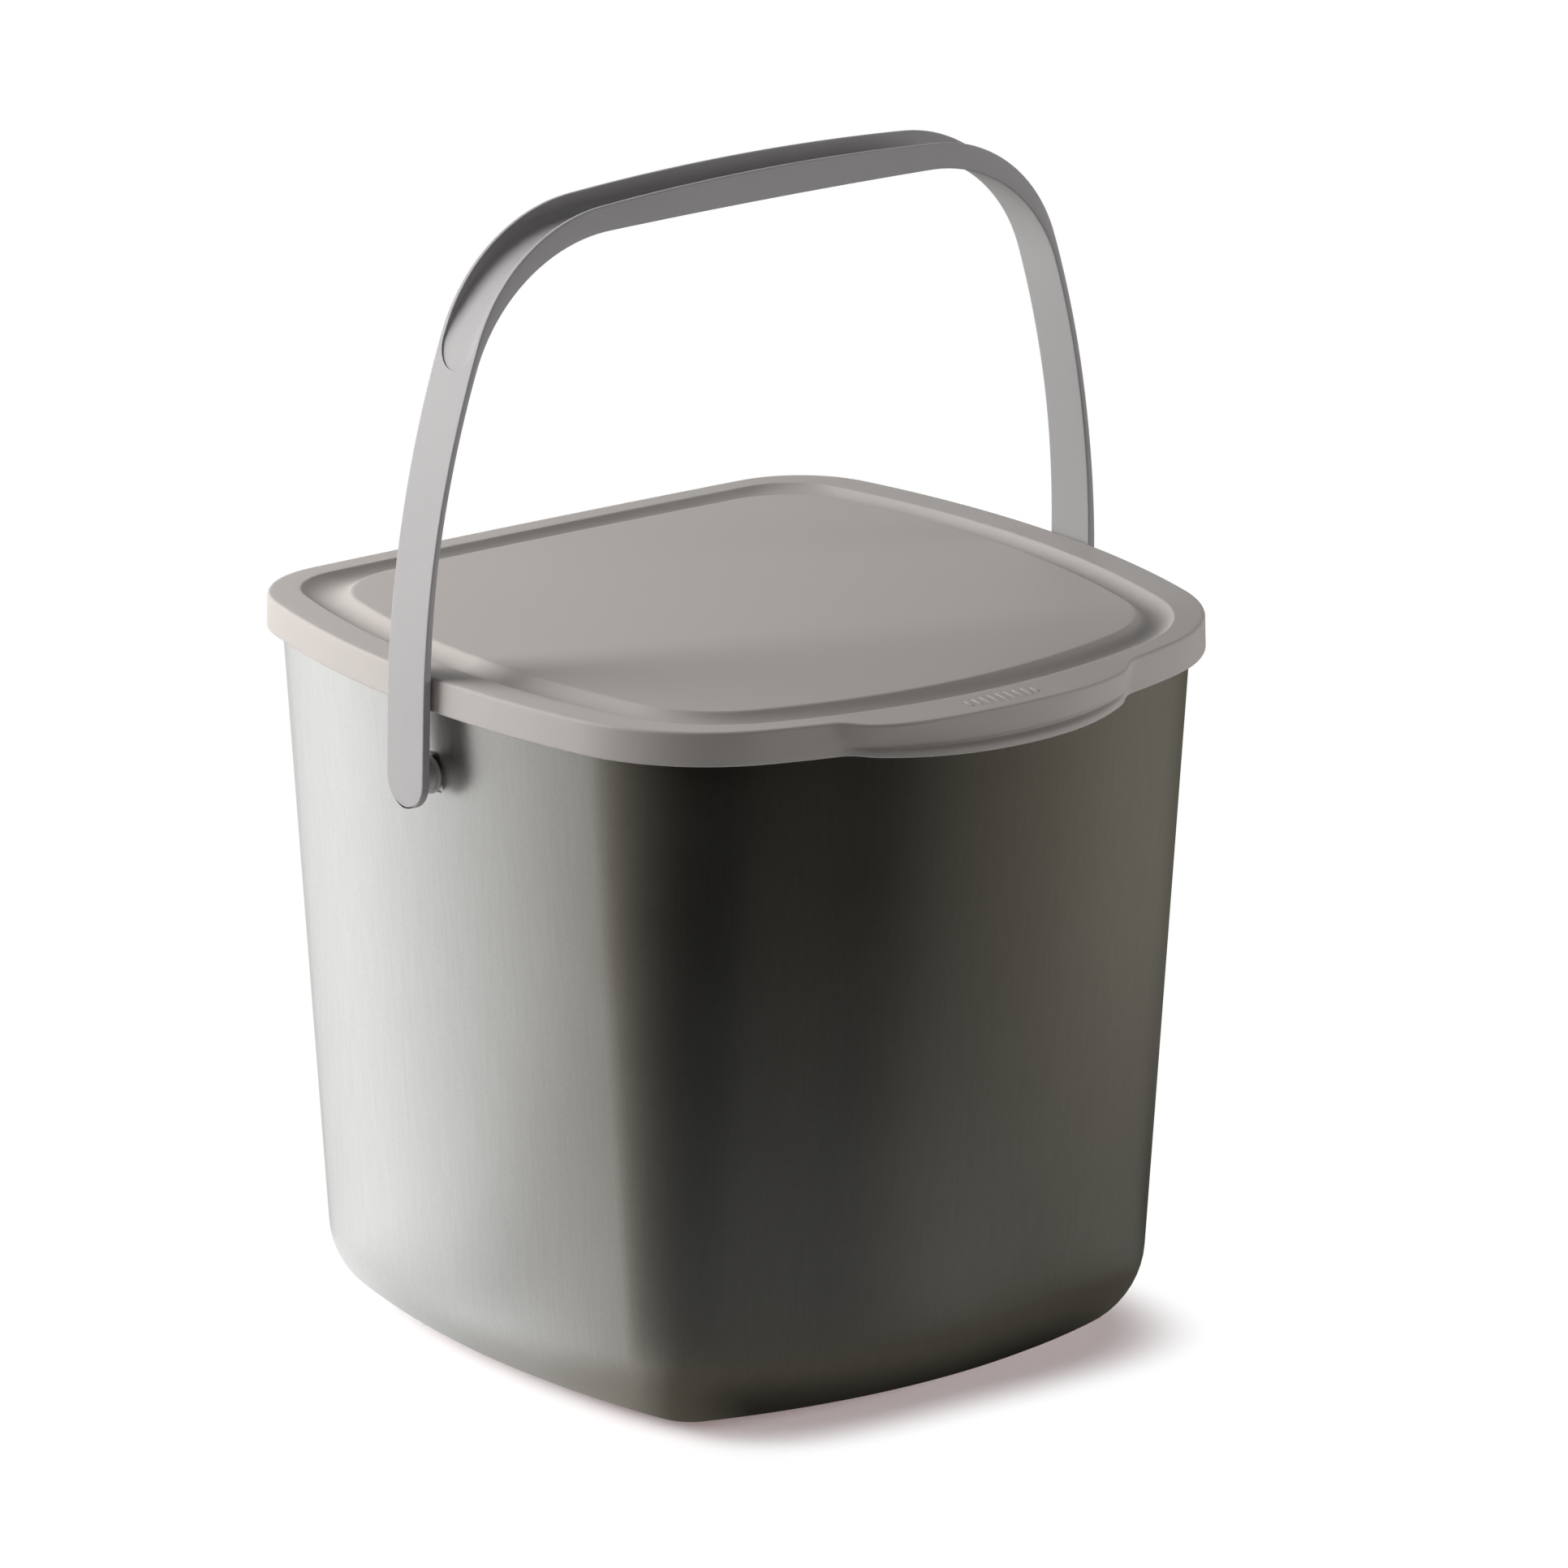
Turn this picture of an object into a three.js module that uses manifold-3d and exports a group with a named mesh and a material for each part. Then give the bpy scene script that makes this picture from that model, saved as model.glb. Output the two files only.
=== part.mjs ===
import * as THREE from "three";
import { mergeVertices } from "three/addons/utils/BufferGeometryUtils.js";
import Module from "manifold-3d";

// A kitchen compost bin: a drawn steel bin, a moulded lift-off lid with a finger tab, and a strap handle
// that swings on two pivots. Millimetres, +X right along the front, +Y to the back, +Z up, floor at zero.

const wasm = await Module();
wasm.setup();

// Clearances
const seatGap = 0.3;
const runningGap = 0.3;
const cutOverrun = 2;

// Lid outline seen from above, measured from its widest line
const lidHalfWidth = 100;
const lidFrontDepth = 105.6;
const lidBackDepth = 87.5;
const lidSideBow = 266;
const lidFrontBow = 183;
const lidBackBow = 3000;
const lidFrontCorner = 48.5;
const lidBackCorner = 26.5;

// Lid section, from the skirt inwards
const lidTopHeight = 185.5;
const lidThickness = 2;
const lidEdgeRadius = 0.8;
const lidSkirtHeight = 8.6;
const lidSkirtThickness = 1.4;
const lidSkirtDraft = 0.2;
const rimWidth = 8.7;
const rimEndWidth = 5.9;
const grooveFall = 3.2;
const grooveWidth = 11.9;
const grooveDepth = 3.2;
const panelRise = 1.2;

// Finger tab at the middle of the lid's front edge
const tabHalfWidth = 45;
const tabTopReach = 5;
const tabSkirtReach = 7.5;
const tabLipReach = 9.7;
const tabTopDrop = 0.8;
const tabLipDrop = 1.1;
const tabLipHeight = 1.9;
const tabBluntness = 2.4;
const tabEndEaseShare = 0.18;

// Bin outline at the floor, as its straight walls would reach it
const baseHalfWidth = 84.3;
const baseFrontDepth = 86.2;
const baseBackDepth = 74.1;
const baseFrontBow = 193;
const baseFrontCorner = 22;
const baseBackCorner = 14;

// Bin section
const shellInset = 3.1;
const shellThickness = 0.7;
const beadRadius = 1.1;
const footRadius = 22.4;
const smallestCorner = 3;

// Pivot hardware on the bin's two side walls
const pivotDrop = 26.4;
const pivotForward = 3.5;
const spacerRadius = 3.9;
const flangeRadius = 5;
const flangeThickness = 0.8;
const sleeveRadius = 3.4;
const sleeveStandIn = 0.6;
const stubRadius = 2.5;
const screwRadius = 1.1;
const screwBite = 5;
const screwHeadRadius = 4;
const screwHeadHeight = 2.2;
const screwSlotWidth = 1.1;
const screwSlotDepth = 1.1;
const washerRadius = 5.25;
const washerThickness = 0.8;

// Handle strap, measured from the pivot axis: its inner line, then the outer line along the grip's flanges
const handleLean = THREE.MathUtils.degToRad(1.6);
const armClearance = 1.5;
const strapWidth = 14.9;
const strapThickness = 2.2;
const archHeight = 131;
const archStraight = 22.8;
const archSideBow = 251;
const archCorner = 42.5;
const archCrown = 2540;
const gripHeight = 138.8;
const gripStraight = 17;
const gripSideBow = 281;
const gripCorner = 42;
const gripCrown = 704;
const gripFloor = 1.6;
const channelFoot = 100;
const gripFlange = 1.4;

// Facets
const lidFacets = { side: 4, frontCorner: 7, backCorner: 6, front: 16, back: 4 };
const shellFacets = { side: 4, frontCorner: 7, backCorner: 6, front: 7, back: 4 };
const archFacets = { side: 9, corner: 9, crown: 6 };
const roundFacets = 32;
const grooveFacets = 4;
const beadFacets = 6;
const footFacets = 7;
const wallFacets = 3;

// Places worked out from the sizes above
const shellTop = lidTopHeight - lidThickness - seatGap;
const pivotHeight = lidTopHeight - pivotDrop;
const armInside = lidHalfWidth + lidSkirtDraft + armClearance;
const pivotShare = pivotHeight / lidTopHeight;
const wallAtPivot = THREE.MathUtils.lerp(baseHalfWidth, lidHalfWidth - shellInset, pivotShare);
const wallSlope = (lidHalfWidth - shellInset - baseHalfWidth) / lidTopHeight;
const sleeveEnd = wallAtPivot - shellThickness - sleeveStandIn;
const stubFace = sleeveEnd - runningGap;
const washerOutside = stubFace - seatGap;
const washerInside = washerOutside - washerThickness;

const steel = { color: 0x8f8c86, roughness: 0.32, metalness: 1 };
const lidPlastic = { color: 0xa8a49f, roughness: 0.55, metalness: 0 };
const handlePlastic = { color: 0xb5b1b1, roughness: 0.5, metalness: 0 };
const glossPlastic = { color: 0x6f6d6c, roughness: 0.25, metalness: 0 };
const plainSteel = { color: 0xb9bab8, roughness: 0.35, metalness: 1 };

const bin = new THREE.Group();

function addPart(name, geometry, finish, parent = bin) {
  const mesh = new THREE.Mesh(geometry, new THREE.MeshStandardMaterial(finish));
  mesh.name = name;
  parent.add(mesh);
  return mesh;
}

// One quarter of a bowed outline: a side arc centred on the X axis, an end arc centred on the Y axis, and
// the corner arc that touches both from inside.
function quarterPoints({ halfWidth, depth, sideBow, endBow, corner }, facets) {
  const sideX = halfWidth - sideBow;
  const endY = depth - endBow;
  const toSide = sideBow - corner;
  const toEnd = endBow - corner;
  const apart = Math.hypot(sideX, endY);
  const along = (toSide ** 2 - toEnd ** 2 + apart ** 2) / (2 * apart);
  const across = Math.sqrt(toSide ** 2 - along ** 2);
  const direction = new THREE.Vector2(-sideX, endY).divideScalar(apart);
  const cornerX = sideX + along * direction.x - across * direction.y;
  const cornerY = along * direction.y + across * direction.x;
  const sideAngle = Math.atan2(cornerY, cornerX - sideX);
  const endAngle = Math.atan2(cornerY - endY, cornerX);
  const arcs = [
    [sideX, 0, sideBow, 0, sideAngle, facets.side],
    [cornerX, cornerY, corner, sideAngle, endAngle, facets.corner],
    [0, endY, endBow, endAngle, Math.PI / 2, facets.end],
  ];
  return arcs.flatMap(([x, y, radius, from, to, count], arc) => {
    const curve = new THREE.EllipseCurve(x, y, radius, radius, from, to);
    return curve.getPoints(count).slice(arc ? 1 : 0);
  });
}

// A whole bowed outline, anticlockwise seen from above, starting on the right at the widest line.
function outlineRing(outline, facets) {
  const shared = { halfWidth: outline.halfWidth, sideBow: outline.sideBow };
  const backEnd = { depth: outline.backDepth, endBow: outline.backBow, corner: outline.backCorner };
  const frontEnd = { depth: outline.frontDepth, endBow: outline.frontBow, corner: outline.frontCorner };
  const backFacets = { side: facets.side, corner: facets.backCorner, end: facets.back };
  const frontFacets = { side: facets.side, corner: facets.frontCorner, end: facets.front };
  const back = quarterPoints({ ...shared, ...backEnd }, backFacets);
  const front = quarterPoints({ ...shared, ...frontEnd }, frontFacets);
  const backLeft = back.slice(0, -1).reverse().map(({ x, y }) => new THREE.Vector2(-x, y));
  const frontLeft = front.slice(1).map(({ x, y }) => new THREE.Vector2(-x, -y));
  const frontRight = front.slice(1, -1).reverse().map(({ x, y }) => new THREE.Vector2(x, -y));
  return [...back.map(({ x, y }) => new THREE.Vector2(x, y)), ...backLeft, ...frontLeft, ...frontRight];
}

// The same outline a distance further in, which may differ at the front and back. A corner that the distance
// would use up keeps a small radius.
function insetOutline(outline, distance, endDistance = distance) {
  return {
    halfWidth: outline.halfWidth - distance,
    frontDepth: outline.frontDepth - endDistance,
    backDepth: outline.backDepth - endDistance,
    sideBow: outline.sideBow - distance,
    frontBow: outline.frontBow - endDistance,
    backBow: outline.backBow - endDistance,
    frontCorner: Math.max(outline.frontCorner - distance, smallestCorner),
    backCorner: Math.max(outline.backCorner - distance, smallestCorner),
  };
}

function blendOutlines(low, high, share) {
  const blended = {};
  for (const size of Object.keys(low)) blended[size] = THREE.MathUtils.lerp(low[size], high[size], share);
  return blended;
}

// A closed body from rings of points, with a fan at each end. Rings run anticlockwise seen from above, and
// the skin faces out where they go down the outside.
function loftRings(rings) {
  const count = rings[0].length;
  const points = rings.flat();
  for (const ring of [rings[0], rings.at(-1)]) {
    const centre = ring.reduce((sum, point) => sum.add(point), new THREE.Vector3()).divideScalar(count);
    points.push(centre);
  }
  const firstCentre = points.length - 2;
  const lastCentre = points.length - 1;
  const lastRing = (rings.length - 1) * count;
  const index = [];
  for (let i = 0; i < count; i++) {
    const next = (i + 1) % count;
    index.push(firstCentre, i, next);
    index.push(lastCentre, lastRing + next, lastRing + i);
    for (let row = 0; row < rings.length - 1; row++) {
      const above = row * count;
      const below = above + count;
      index.push(above + i, below + i, below + next);
      index.push(above + i, below + next, above + next);
    }
  }
  return new THREE.BufferGeometry().setFromPoints(points).setIndex(index);
}

function toSolid(geometry) {
  const bare = geometry.clone();
  bare.deleteAttribute("normal");
  bare.deleteAttribute("uv");
  const merged = mergeVertices(bare);
  return new wasm.Manifold(
    new wasm.Mesh({
      numProp: 3,
      vertProperties: merged.attributes.position.array,
      triVerts: new Uint32Array(merged.index.array),
    }),
  );
}

function toGeometry(solid) {
  const mesh = solid.getMesh();
  const geometry = new THREE.BufferGeometry();
  geometry.setAttribute("position", new THREE.BufferAttribute(mesh.vertProperties, 3));
  geometry.setIndex(new THREE.BufferAttribute(mesh.triVerts, 1));
  return geometry;
}

// A turned piece on the X axis, from a profile of points [place along X, radius].
function turnedOnX(profile) {
  const points = profile.map(([along, radius]) => new THREE.Vector2(radius, along));
  return new THREE.LatheGeometry(points, roundFacets).rotateZ(-Math.PI / 2);
}

function rodOnX(from, to, radius) {
  return toSolid(turnedOnX([[from, 0], [from, radius], [to, radius], [to, 0]]));
}

// The lid and the bin's outlines

const lidOutline = {
  halfWidth: lidHalfWidth,
  frontDepth: lidFrontDepth,
  backDepth: lidBackDepth,
  sideBow: lidSideBow,
  frontBow: lidFrontBow,
  backBow: lidBackBow,
  frontCorner: lidFrontCorner,
  backCorner: lidBackCorner,
};

const shellTopOutline = insetOutline(lidOutline, shellInset);

const baseOutline = {
  ...shellTopOutline,
  halfWidth: baseHalfWidth,
  frontDepth: baseFrontDepth,
  backDepth: baseBackDepth,
  frontBow: baseFrontBow,
  frontCorner: baseFrontCorner,
  backCorner: baseBackCorner,
};

// How far the tab stands out at a place across the front, as a share of its reach in the middle.
function tabShareAt(x) {
  const place = Math.min(Math.abs(x) / tabHalfWidth, 1);
  return (1 - place ** tabBluntness) * THREE.MathUtils.smoothstep(1 - place, 0, tabEndEaseShare);
}

// One ring of the lid: the outline at an inset and a height, pushed out and down at the tab.
function lidRing(inset, height, tabReach = 0, tabDrop = 0) {
  return outlineRing(insetOutline(lidOutline, inset), lidFacets).map(({ x, y }) => {
    const share = y < 0 ? tabShareAt(x) : 0;
    return new THREE.Vector3(x, y - tabReach * share, height - tabDrop * share);
  });
}

// One ring of the lid's top: inside the rim by a distance, level with no tab.
function grooveRing(inward, height) {
  const outline = insetOutline(lidOutline, rimWidth + inward, rimEndWidth + inward);
  return outlineRing(outline, lidFacets).map(({ x, y }) => new THREE.Vector3(x, y, height));
}

// The groove's rings from the panel's edge out to the rim, lowered by the lid's thickness for the underside.
function grooveRings(lowered) {
  const rings = [];
  const bottom = lidTopHeight - lowered - grooveDepth;
  for (let i = 0; i <= grooveFacets; i++) {
    const share = i / grooveFacets;
    const inward = THREE.MathUtils.lerp(grooveWidth, grooveFall, share);
    const rise = (panelRise + grooveDepth) * (1 + Math.cos(Math.PI * share)) / 2;
    rings.push(grooveRing(inward, bottom + rise));
  }
  for (let i = 1; i <= grooveFacets; i++) {
    const share = i / grooveFacets;
    const inward = THREE.MathUtils.lerp(grooveFall, 0, share);
    const rise = grooveDepth * (1 - Math.cos(Math.PI * share)) / 2;
    rings.push(grooveRing(inward, bottom + rise));
  }
  return rings;
}

function lidGeometry() {
  const skirtFoot = lidTopHeight - lidSkirtHeight;
  const lipLine = skirtFoot + tabLipHeight;
  const underside = lidTopHeight - lidThickness;
  const lipDraft = lidSkirtDraft * (lipLine - underside) / (skirtFoot - underside);
  return loftRings([
    ...grooveRings(0),
    lidRing(lidEdgeRadius, lidTopHeight, tabTopReach, tabTopDrop),
    lidRing(0, lidTopHeight - lidEdgeRadius, tabTopReach, tabTopDrop),
    lidRing(-lipDraft, lipLine, tabSkirtReach),
    lidRing(-lidSkirtDraft, skirtFoot, tabLipReach, tabLipDrop),
    lidRing(lidSkirtThickness - lidSkirtDraft, skirtFoot, tabLipReach, tabLipDrop),
    lidRing(lidSkirtThickness - lipDraft, lipLine, tabSkirtReach),
    lidRing(lidSkirtThickness, underside, tabTopReach),
    ...grooveRings(lidThickness).reverse(),
  ]);
}

// One ring of the bin: the outline at its height, moved in by a distance.
function shellRing(height, inset) {
  const outline = blendOutlines(baseOutline, shellTopOutline, height / lidTopHeight);
  const ring = outlineRing(insetOutline(outline, inset), shellFacets);
  return ring.map(({ x, y }) => new THREE.Vector3(x, y, height));
}

// The wall's rings from the floor up, a distance inside the outer skin.
function wallRings(inside) {
  const rings = [];
  const radius = footRadius - inside;
  for (let i = 0; i <= footFacets; i++) {
    const angle = (Math.PI / 2) * (i / footFacets);
    const height = footRadius - radius * Math.cos(angle);
    rings.push(shellRing(height, footRadius - radius * Math.sin(angle)));
  }
  for (let i = 1; i <= wallFacets; i++) {
    const height = THREE.MathUtils.lerp(footRadius, shellTop - 2 * beadRadius, i / wallFacets);
    rings.push(shellRing(height, inside));
  }
  return rings;
}

function shellGeometry() {
  const beadInset = shellThickness - beadRadius;
  const bead = [];
  for (let i = 0; i <= beadFacets; i++) {
    const angle = Math.PI * (i / beadFacets);
    const height = shellTop - beadRadius + beadRadius * Math.sin(angle);
    bead.push(shellRing(height, beadInset + beadRadius * Math.cos(angle)));
  }
  const skin = loftRings([...wallRings(shellThickness), ...bead, ...wallRings(0).reverse()]);
  const reach = wallAtPivot + cutOverrun + shellInset;
  const holeAxis = rodOnX(-reach, reach, sleeveRadius + seatGap).translate([0, -pivotForward, pivotHeight]);
  return toGeometry(toSolid(skin).subtract(holeAxis));
}

// A line over the arch from the right pivot to the left one: straight feet, bowed arms, corners and a crown.
function archLine({ halfWidth, height, straight, sideBow, crown, corner }) {
  const sizes = { halfWidth, depth: height - straight, sideBow, endBow: crown, corner };
  const facets = { side: archFacets.side, corner: archFacets.corner, end: archFacets.crown };
  const right = quarterPoints(sizes, facets).map(({ x, y }) => new THREE.Vector2(x, y + straight));
  const left = right.slice(0, -1).reverse().map(({ x, y }) => new THREE.Vector2(-x, y));
  return [new THREE.Vector2(halfWidth, 0), ...right, ...left, new THREE.Vector2(-halfWidth, 0)];
}

// A band between two lines over the arch, paired point by point.
function archBand(inner, outer, width) {
  const place = (point, y) => new THREE.Vector3(point.x, y, point.y);
  const rings = inner.map((low, i) => [
    place(low, -width / 2),
    place(low, width / 2),
    place(outer[i], width / 2),
    place(outer[i], -width / 2),
  ]);
  return toSolid(loftRings(rings));
}

// The strap and its channel, which runs over the top from one arm to the other, down to the grip's floor.
function strapSolid() {
  const inner = archLine({
    halfWidth: armInside,
    height: archHeight,
    straight: archStraight,
    sideBow: archSideBow,
    crown: archCrown,
    corner: archCorner,
  });
  const outer = archLine({
    halfWidth: armInside + strapThickness,
    height: gripHeight,
    straight: gripStraight,
    sideBow: gripSideBow,
    crown: gripCrown,
    corner: gripCorner,
  });
  const floor = inner.map((point, i) => outer[i].clone().sub(point).setLength(gripFloor).add(point));
  const above = inner.map((point, i) => outer[i].clone().sub(point).setLength(cutOverrun).add(outer[i]));
  const channel = archBand(floor, above, strapWidth - 2 * gripFlange).trimByPlane([0, 0, 1], channelFoot);
  return archBand(inner, outer, strapWidth).subtract(channel);
}

function handleGeometry() {
  let solid = strapSolid();
  for (const side of [-1, 1]) {
    const face = side * armInside;
    const armOutside = side * (armInside + strapThickness);
    const stubEnd = side * stubFace;
    const boreEnd = side * (stubFace + screwBite + seatGap);
    const eye = rodOnX(Math.min(face, armOutside), Math.max(face, armOutside), strapWidth / 2);
    const stub = rodOnX(Math.min(armOutside, stubEnd), Math.max(armOutside, stubEnd), stubRadius);
    const boreMouth = stubEnd - side * cutOverrun;
    const bore = rodOnX(Math.min(boreMouth, boreEnd), Math.max(boreMouth, boreEnd), screwRadius + seatGap);
    solid = solid.add(eye).add(stub).subtract(bore);
  }
  return toGeometry(solid);
}

// The spacer between arm and wall, with a flange on the wall and a sleeve through its hole.
function bushingGeometry() {
  const wallLean = wallSlope * flangeRadius;
  const flangeFoot = wallAtPivot + wallLean + seatGap;
  const armEnd = armInside - runningGap;
  const bore = stubRadius + runningGap;
  return turnedOnX([
    [sleeveEnd, bore],
    [sleeveEnd, sleeveRadius],
    [flangeFoot, sleeveRadius],
    [flangeFoot, flangeRadius],
    [flangeFoot + flangeThickness, flangeRadius],
    [flangeFoot + flangeThickness, spacerRadius],
    [armEnd, spacerRadius],
    [armEnd, bore],
    [sleeveEnd, bore],
  ]);
}

function washerGeometry() {
  const bore = screwRadius + seatGap;
  return turnedOnX([
    [washerInside, bore],
    [washerInside, washerRadius],
    [washerOutside, washerRadius],
    [washerOutside, bore],
    [washerInside, bore],
  ]);
}

function screwGeometry() {
  const headFace = washerInside - seatGap;
  const headTop = headFace - screwHeadHeight;
  const crown = screwHeadHeight / 2;
  const profile = turnedOnX([
    [headTop, 0],
    [headTop, screwHeadRadius - crown],
    [headTop + crown, screwHeadRadius],
    [headFace, screwHeadRadius],
    [headFace, screwRadius],
    [stubFace + screwBite - screwRadius, screwRadius],
    [stubFace + screwBite, 0],
  ]);
  const slotSize = [2 * screwSlotDepth, 2 * screwHeadRadius + cutOverrun, screwSlotWidth];
  const slot = new THREE.BoxGeometry(...slotSize).translate(headTop, 0, 0);
  return toGeometry(toSolid(profile).subtract(toSolid(slot)));
}

addPart("bin_shell", shellGeometry(), steel);
addPart("lid", lidGeometry(), lidPlastic);

const pivotLine = new THREE.Group();
pivotLine.position.set(0, -pivotForward, pivotHeight);
bin.add(pivotLine);

const swing = new THREE.Group();
swing.rotation.x = handleLean;
pivotLine.add(swing);
addPart("handle", handleGeometry(), handlePlastic, swing);

for (const [side, turn] of [["right", 0], ["left", Math.PI]]) {
  const fixedEnd = new THREE.Group();
  fixedEnd.rotation.z = turn;
  pivotLine.add(fixedEnd);
  const swingingEnd = new THREE.Group();
  swingingEnd.rotation.z = turn;
  swing.add(swingingEnd);
  addPart(`${side}_pivot_bushing`, bushingGeometry(), glossPlastic, fixedEnd);
  addPart(`${side}_pivot_washer`, washerGeometry(), plainSteel, swingingEnd);
  addPart(`${side}_pivot_screw`, screwGeometry(), plainSteel, swingingEnd);
}

export default bin;
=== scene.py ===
# Kitchen compost bin: a drawn steel bin, a moulded lift-off lid with a finger tab, and a strap handle.
import math

import bpy
import numpy as np
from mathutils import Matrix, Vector


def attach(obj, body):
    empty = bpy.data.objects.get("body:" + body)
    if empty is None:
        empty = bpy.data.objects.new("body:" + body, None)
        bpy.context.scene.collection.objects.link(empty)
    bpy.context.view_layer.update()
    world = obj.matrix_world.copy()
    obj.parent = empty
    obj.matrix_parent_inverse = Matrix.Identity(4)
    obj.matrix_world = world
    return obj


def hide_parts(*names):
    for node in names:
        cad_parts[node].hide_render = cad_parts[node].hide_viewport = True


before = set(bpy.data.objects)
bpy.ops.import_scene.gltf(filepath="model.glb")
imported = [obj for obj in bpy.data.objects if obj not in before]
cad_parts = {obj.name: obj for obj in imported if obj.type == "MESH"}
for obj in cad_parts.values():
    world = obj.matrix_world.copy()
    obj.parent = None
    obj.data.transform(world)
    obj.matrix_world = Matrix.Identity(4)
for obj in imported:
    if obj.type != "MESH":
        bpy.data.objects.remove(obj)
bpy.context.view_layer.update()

MM = 0.001


# ---- Sizes in millimetres, fitted to the photograph ----

LID_TOP = 185.5
LID_THICKNESS = 2.0
LID_EDGE_RADIUS = 0.8
SKIRT_HEIGHT = 8.6
SKIRT_THICKNESS = 1.4
SKIRT_DRAFT = 0.2
SKIRT_FOOT_RADIUS = 0.45
RIM_WIDTH = 8.7
RIM_END_WIDTH = 5.9
GROOVE_DEPTH = 2.1
GROOVE_SLOPE = math.radians(50)
PANEL_CORNER = 24.0
PANEL_RISE = 0.55
PANEL_EASE = 1.2
RIM_EASE = 0.8

TAB_HALF_WIDTH = 45.0
TAB_TOP_REACH = 6.4
TAB_SKIRT_REACH = 7.5
TAB_LIP_REACH = 9.7
TAB_TOP_DROP = 0.5
TAB_CREASE_BLUNTNESS = 4.0
TAB_CREASE_HALF_WIDTH = 47.0
TAB_CREASE_FALL = 1.1
TAB_LIP_DROP = 1.1
TAB_LIP_HEIGHT = 1.9
TAB_UNDERCUT = 1.1
TAB_FACE_DRAFT = 0.3
TAB_BLUNTNESS = 2.4
TAB_END_EASE = 0.18

SHELL_INSET = 3.1
SHELL_THICKNESS = 0.7
BEAD_RADIUS = 1.1
FOOT_RADIUS = 22.4
FOOT_CORNER = 9.0
WALL_CORNER = 10.0
SEAT_GAP = 0.3
SHELL_TOP = LID_TOP - LID_THICKNESS - SEAT_GAP

LID_OUTLINE = dict(half=100.0, front=105.6, back=87.5, side_bow=266.0, front_bow=183.0, back_bow=3000.0,
                   front_corner=48.5, back_corner=26.5)
BASE_OUTLINE = dict(half=84.3, front=86.2, back=74.1, side_bow=262.9, front_bow=193.0, back_bow=2996.9,
                    front_corner=22.0, back_corner=14.0)

RIB_COUNT = 9
RIB_PITCH = 2.5
RIB_WIDTH = 1.15
RIB_LENGTH = 6.5
RIB_HEIGHT = 0.42
RIB_PATCH_FORWARD = 105.9
RIB_PATCH_HEIGHT = 185.16
RIB_PATCH_TILT = 0.08

PIVOT_FORWARD = 3.5
PIVOT_HEIGHT = LID_TOP - 26.4
PIVOT = np.array([0, -PIVOT_FORWARD, PIVOT_HEIGHT]) * MM
PIVOT_PLAY = 0.3
PIVOT_HOLE_RADIUS = 3.7
WALL_LEAN = (LID_OUTLINE["half"] - SHELL_INSET - BASE_OUTLINE["half"]) / LID_TOP
WALL_AT_PIVOT = BASE_OUTLINE["half"] + WALL_LEAN * PIVOT_HEIGHT

ARM_INSIDE = 101.0
ARCH_INSIDE = dict(height=131.0, straight=22.8, side_bow=251.0, crown=2540.0, corner=42.5)
ARCH_OUTSIDE = dict(height=138.8, straight=17.0, side_bow=281.0, crown=704.0, corner=42.0)
STRAP_HALF_WIDTH = 7.45
STRAP_THICKNESS = 2.2
STRAP_EDGE = 0.42
GRIP_FLOOR = 1.6
GRIP_FLANGE = 1.25
CHANNEL_FOOT = 94.4
CHANNEL_FIRST_DEPTH = 0.15
CHANNEL_RUN_OUT = 25.0
WELD_DISTANCE = 0.02
HANDLE_LEAN = math.radians(1.6)

SLEEVE_END = WALL_AT_PIVOT - SHELL_THICKNESS - 0.6
SLEEVE_BORE = 2.8
SLEEVE_RADIUS = 3.4
BOSS_RADIUS = 3.9
FLANGE_RADIUS = 5.0
FLANGE_THICKNESS = 0.8
STUB_FACE = SLEEVE_END - PIVOT_PLAY
STUB_BORE = 1.4
STUB_RADIUS = 2.5
WASHER_FACE = STUB_FACE - PIVOT_PLAY
WASHER_THICKNESS = 0.8
WASHER_RADIUS = 5.25
HEAD_FACE = WASHER_FACE - WASHER_THICKNESS - PIVOT_PLAY
HEAD_HEIGHT = 2.2
HEAD_DOME = 0.9
HEAD_RADIUS = 4.0
SCREW_RADIUS = 1.1
SCREW_REACH = 5.0
SLOT_DEPTH = 1.3
SLOT_HALF_WIDTH = 0.55


# ---- Outlines and lofts ----

def quarter_points(half, depth, side_bow, end_bow, corner, counts):
    """A quarter of a bowed outline: side arc, corner arc and end arc, each touching the next."""
    side_x, end_y = half - side_bow, depth - end_bow
    to_side, to_end = side_bow - corner, end_bow - corner
    apart = math.hypot(side_x, end_y)
    along = (to_side ** 2 - to_end ** 2 + apart ** 2) / (2 * apart)
    across = math.sqrt(to_side ** 2 - along ** 2)
    way_x, way_y = -side_x / apart, end_y / apart
    corner_x = side_x + along * way_x - across * way_y
    corner_y = along * way_y + across * way_x
    side_angle = math.atan2(corner_y, corner_x - side_x)
    end_angle = math.atan2(corner_y - end_y, corner_x)
    arcs = ((side_x, 0, side_bow, 0, side_angle, counts[0]),
            (corner_x, corner_y, corner, side_angle, end_angle, counts[1]),
            (0, end_y, end_bow, end_angle, math.pi / 2, counts[2]))
    points = []
    for place, (x, y, radius, start, stop, count) in enumerate(arcs):
        angles = np.linspace(start, stop, count + 1)[1 if place else 0:]
        points.append(np.stack([x + radius * np.cos(angles), y + radius * np.sin(angles)], 1))
    return np.concatenate(points)


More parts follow.
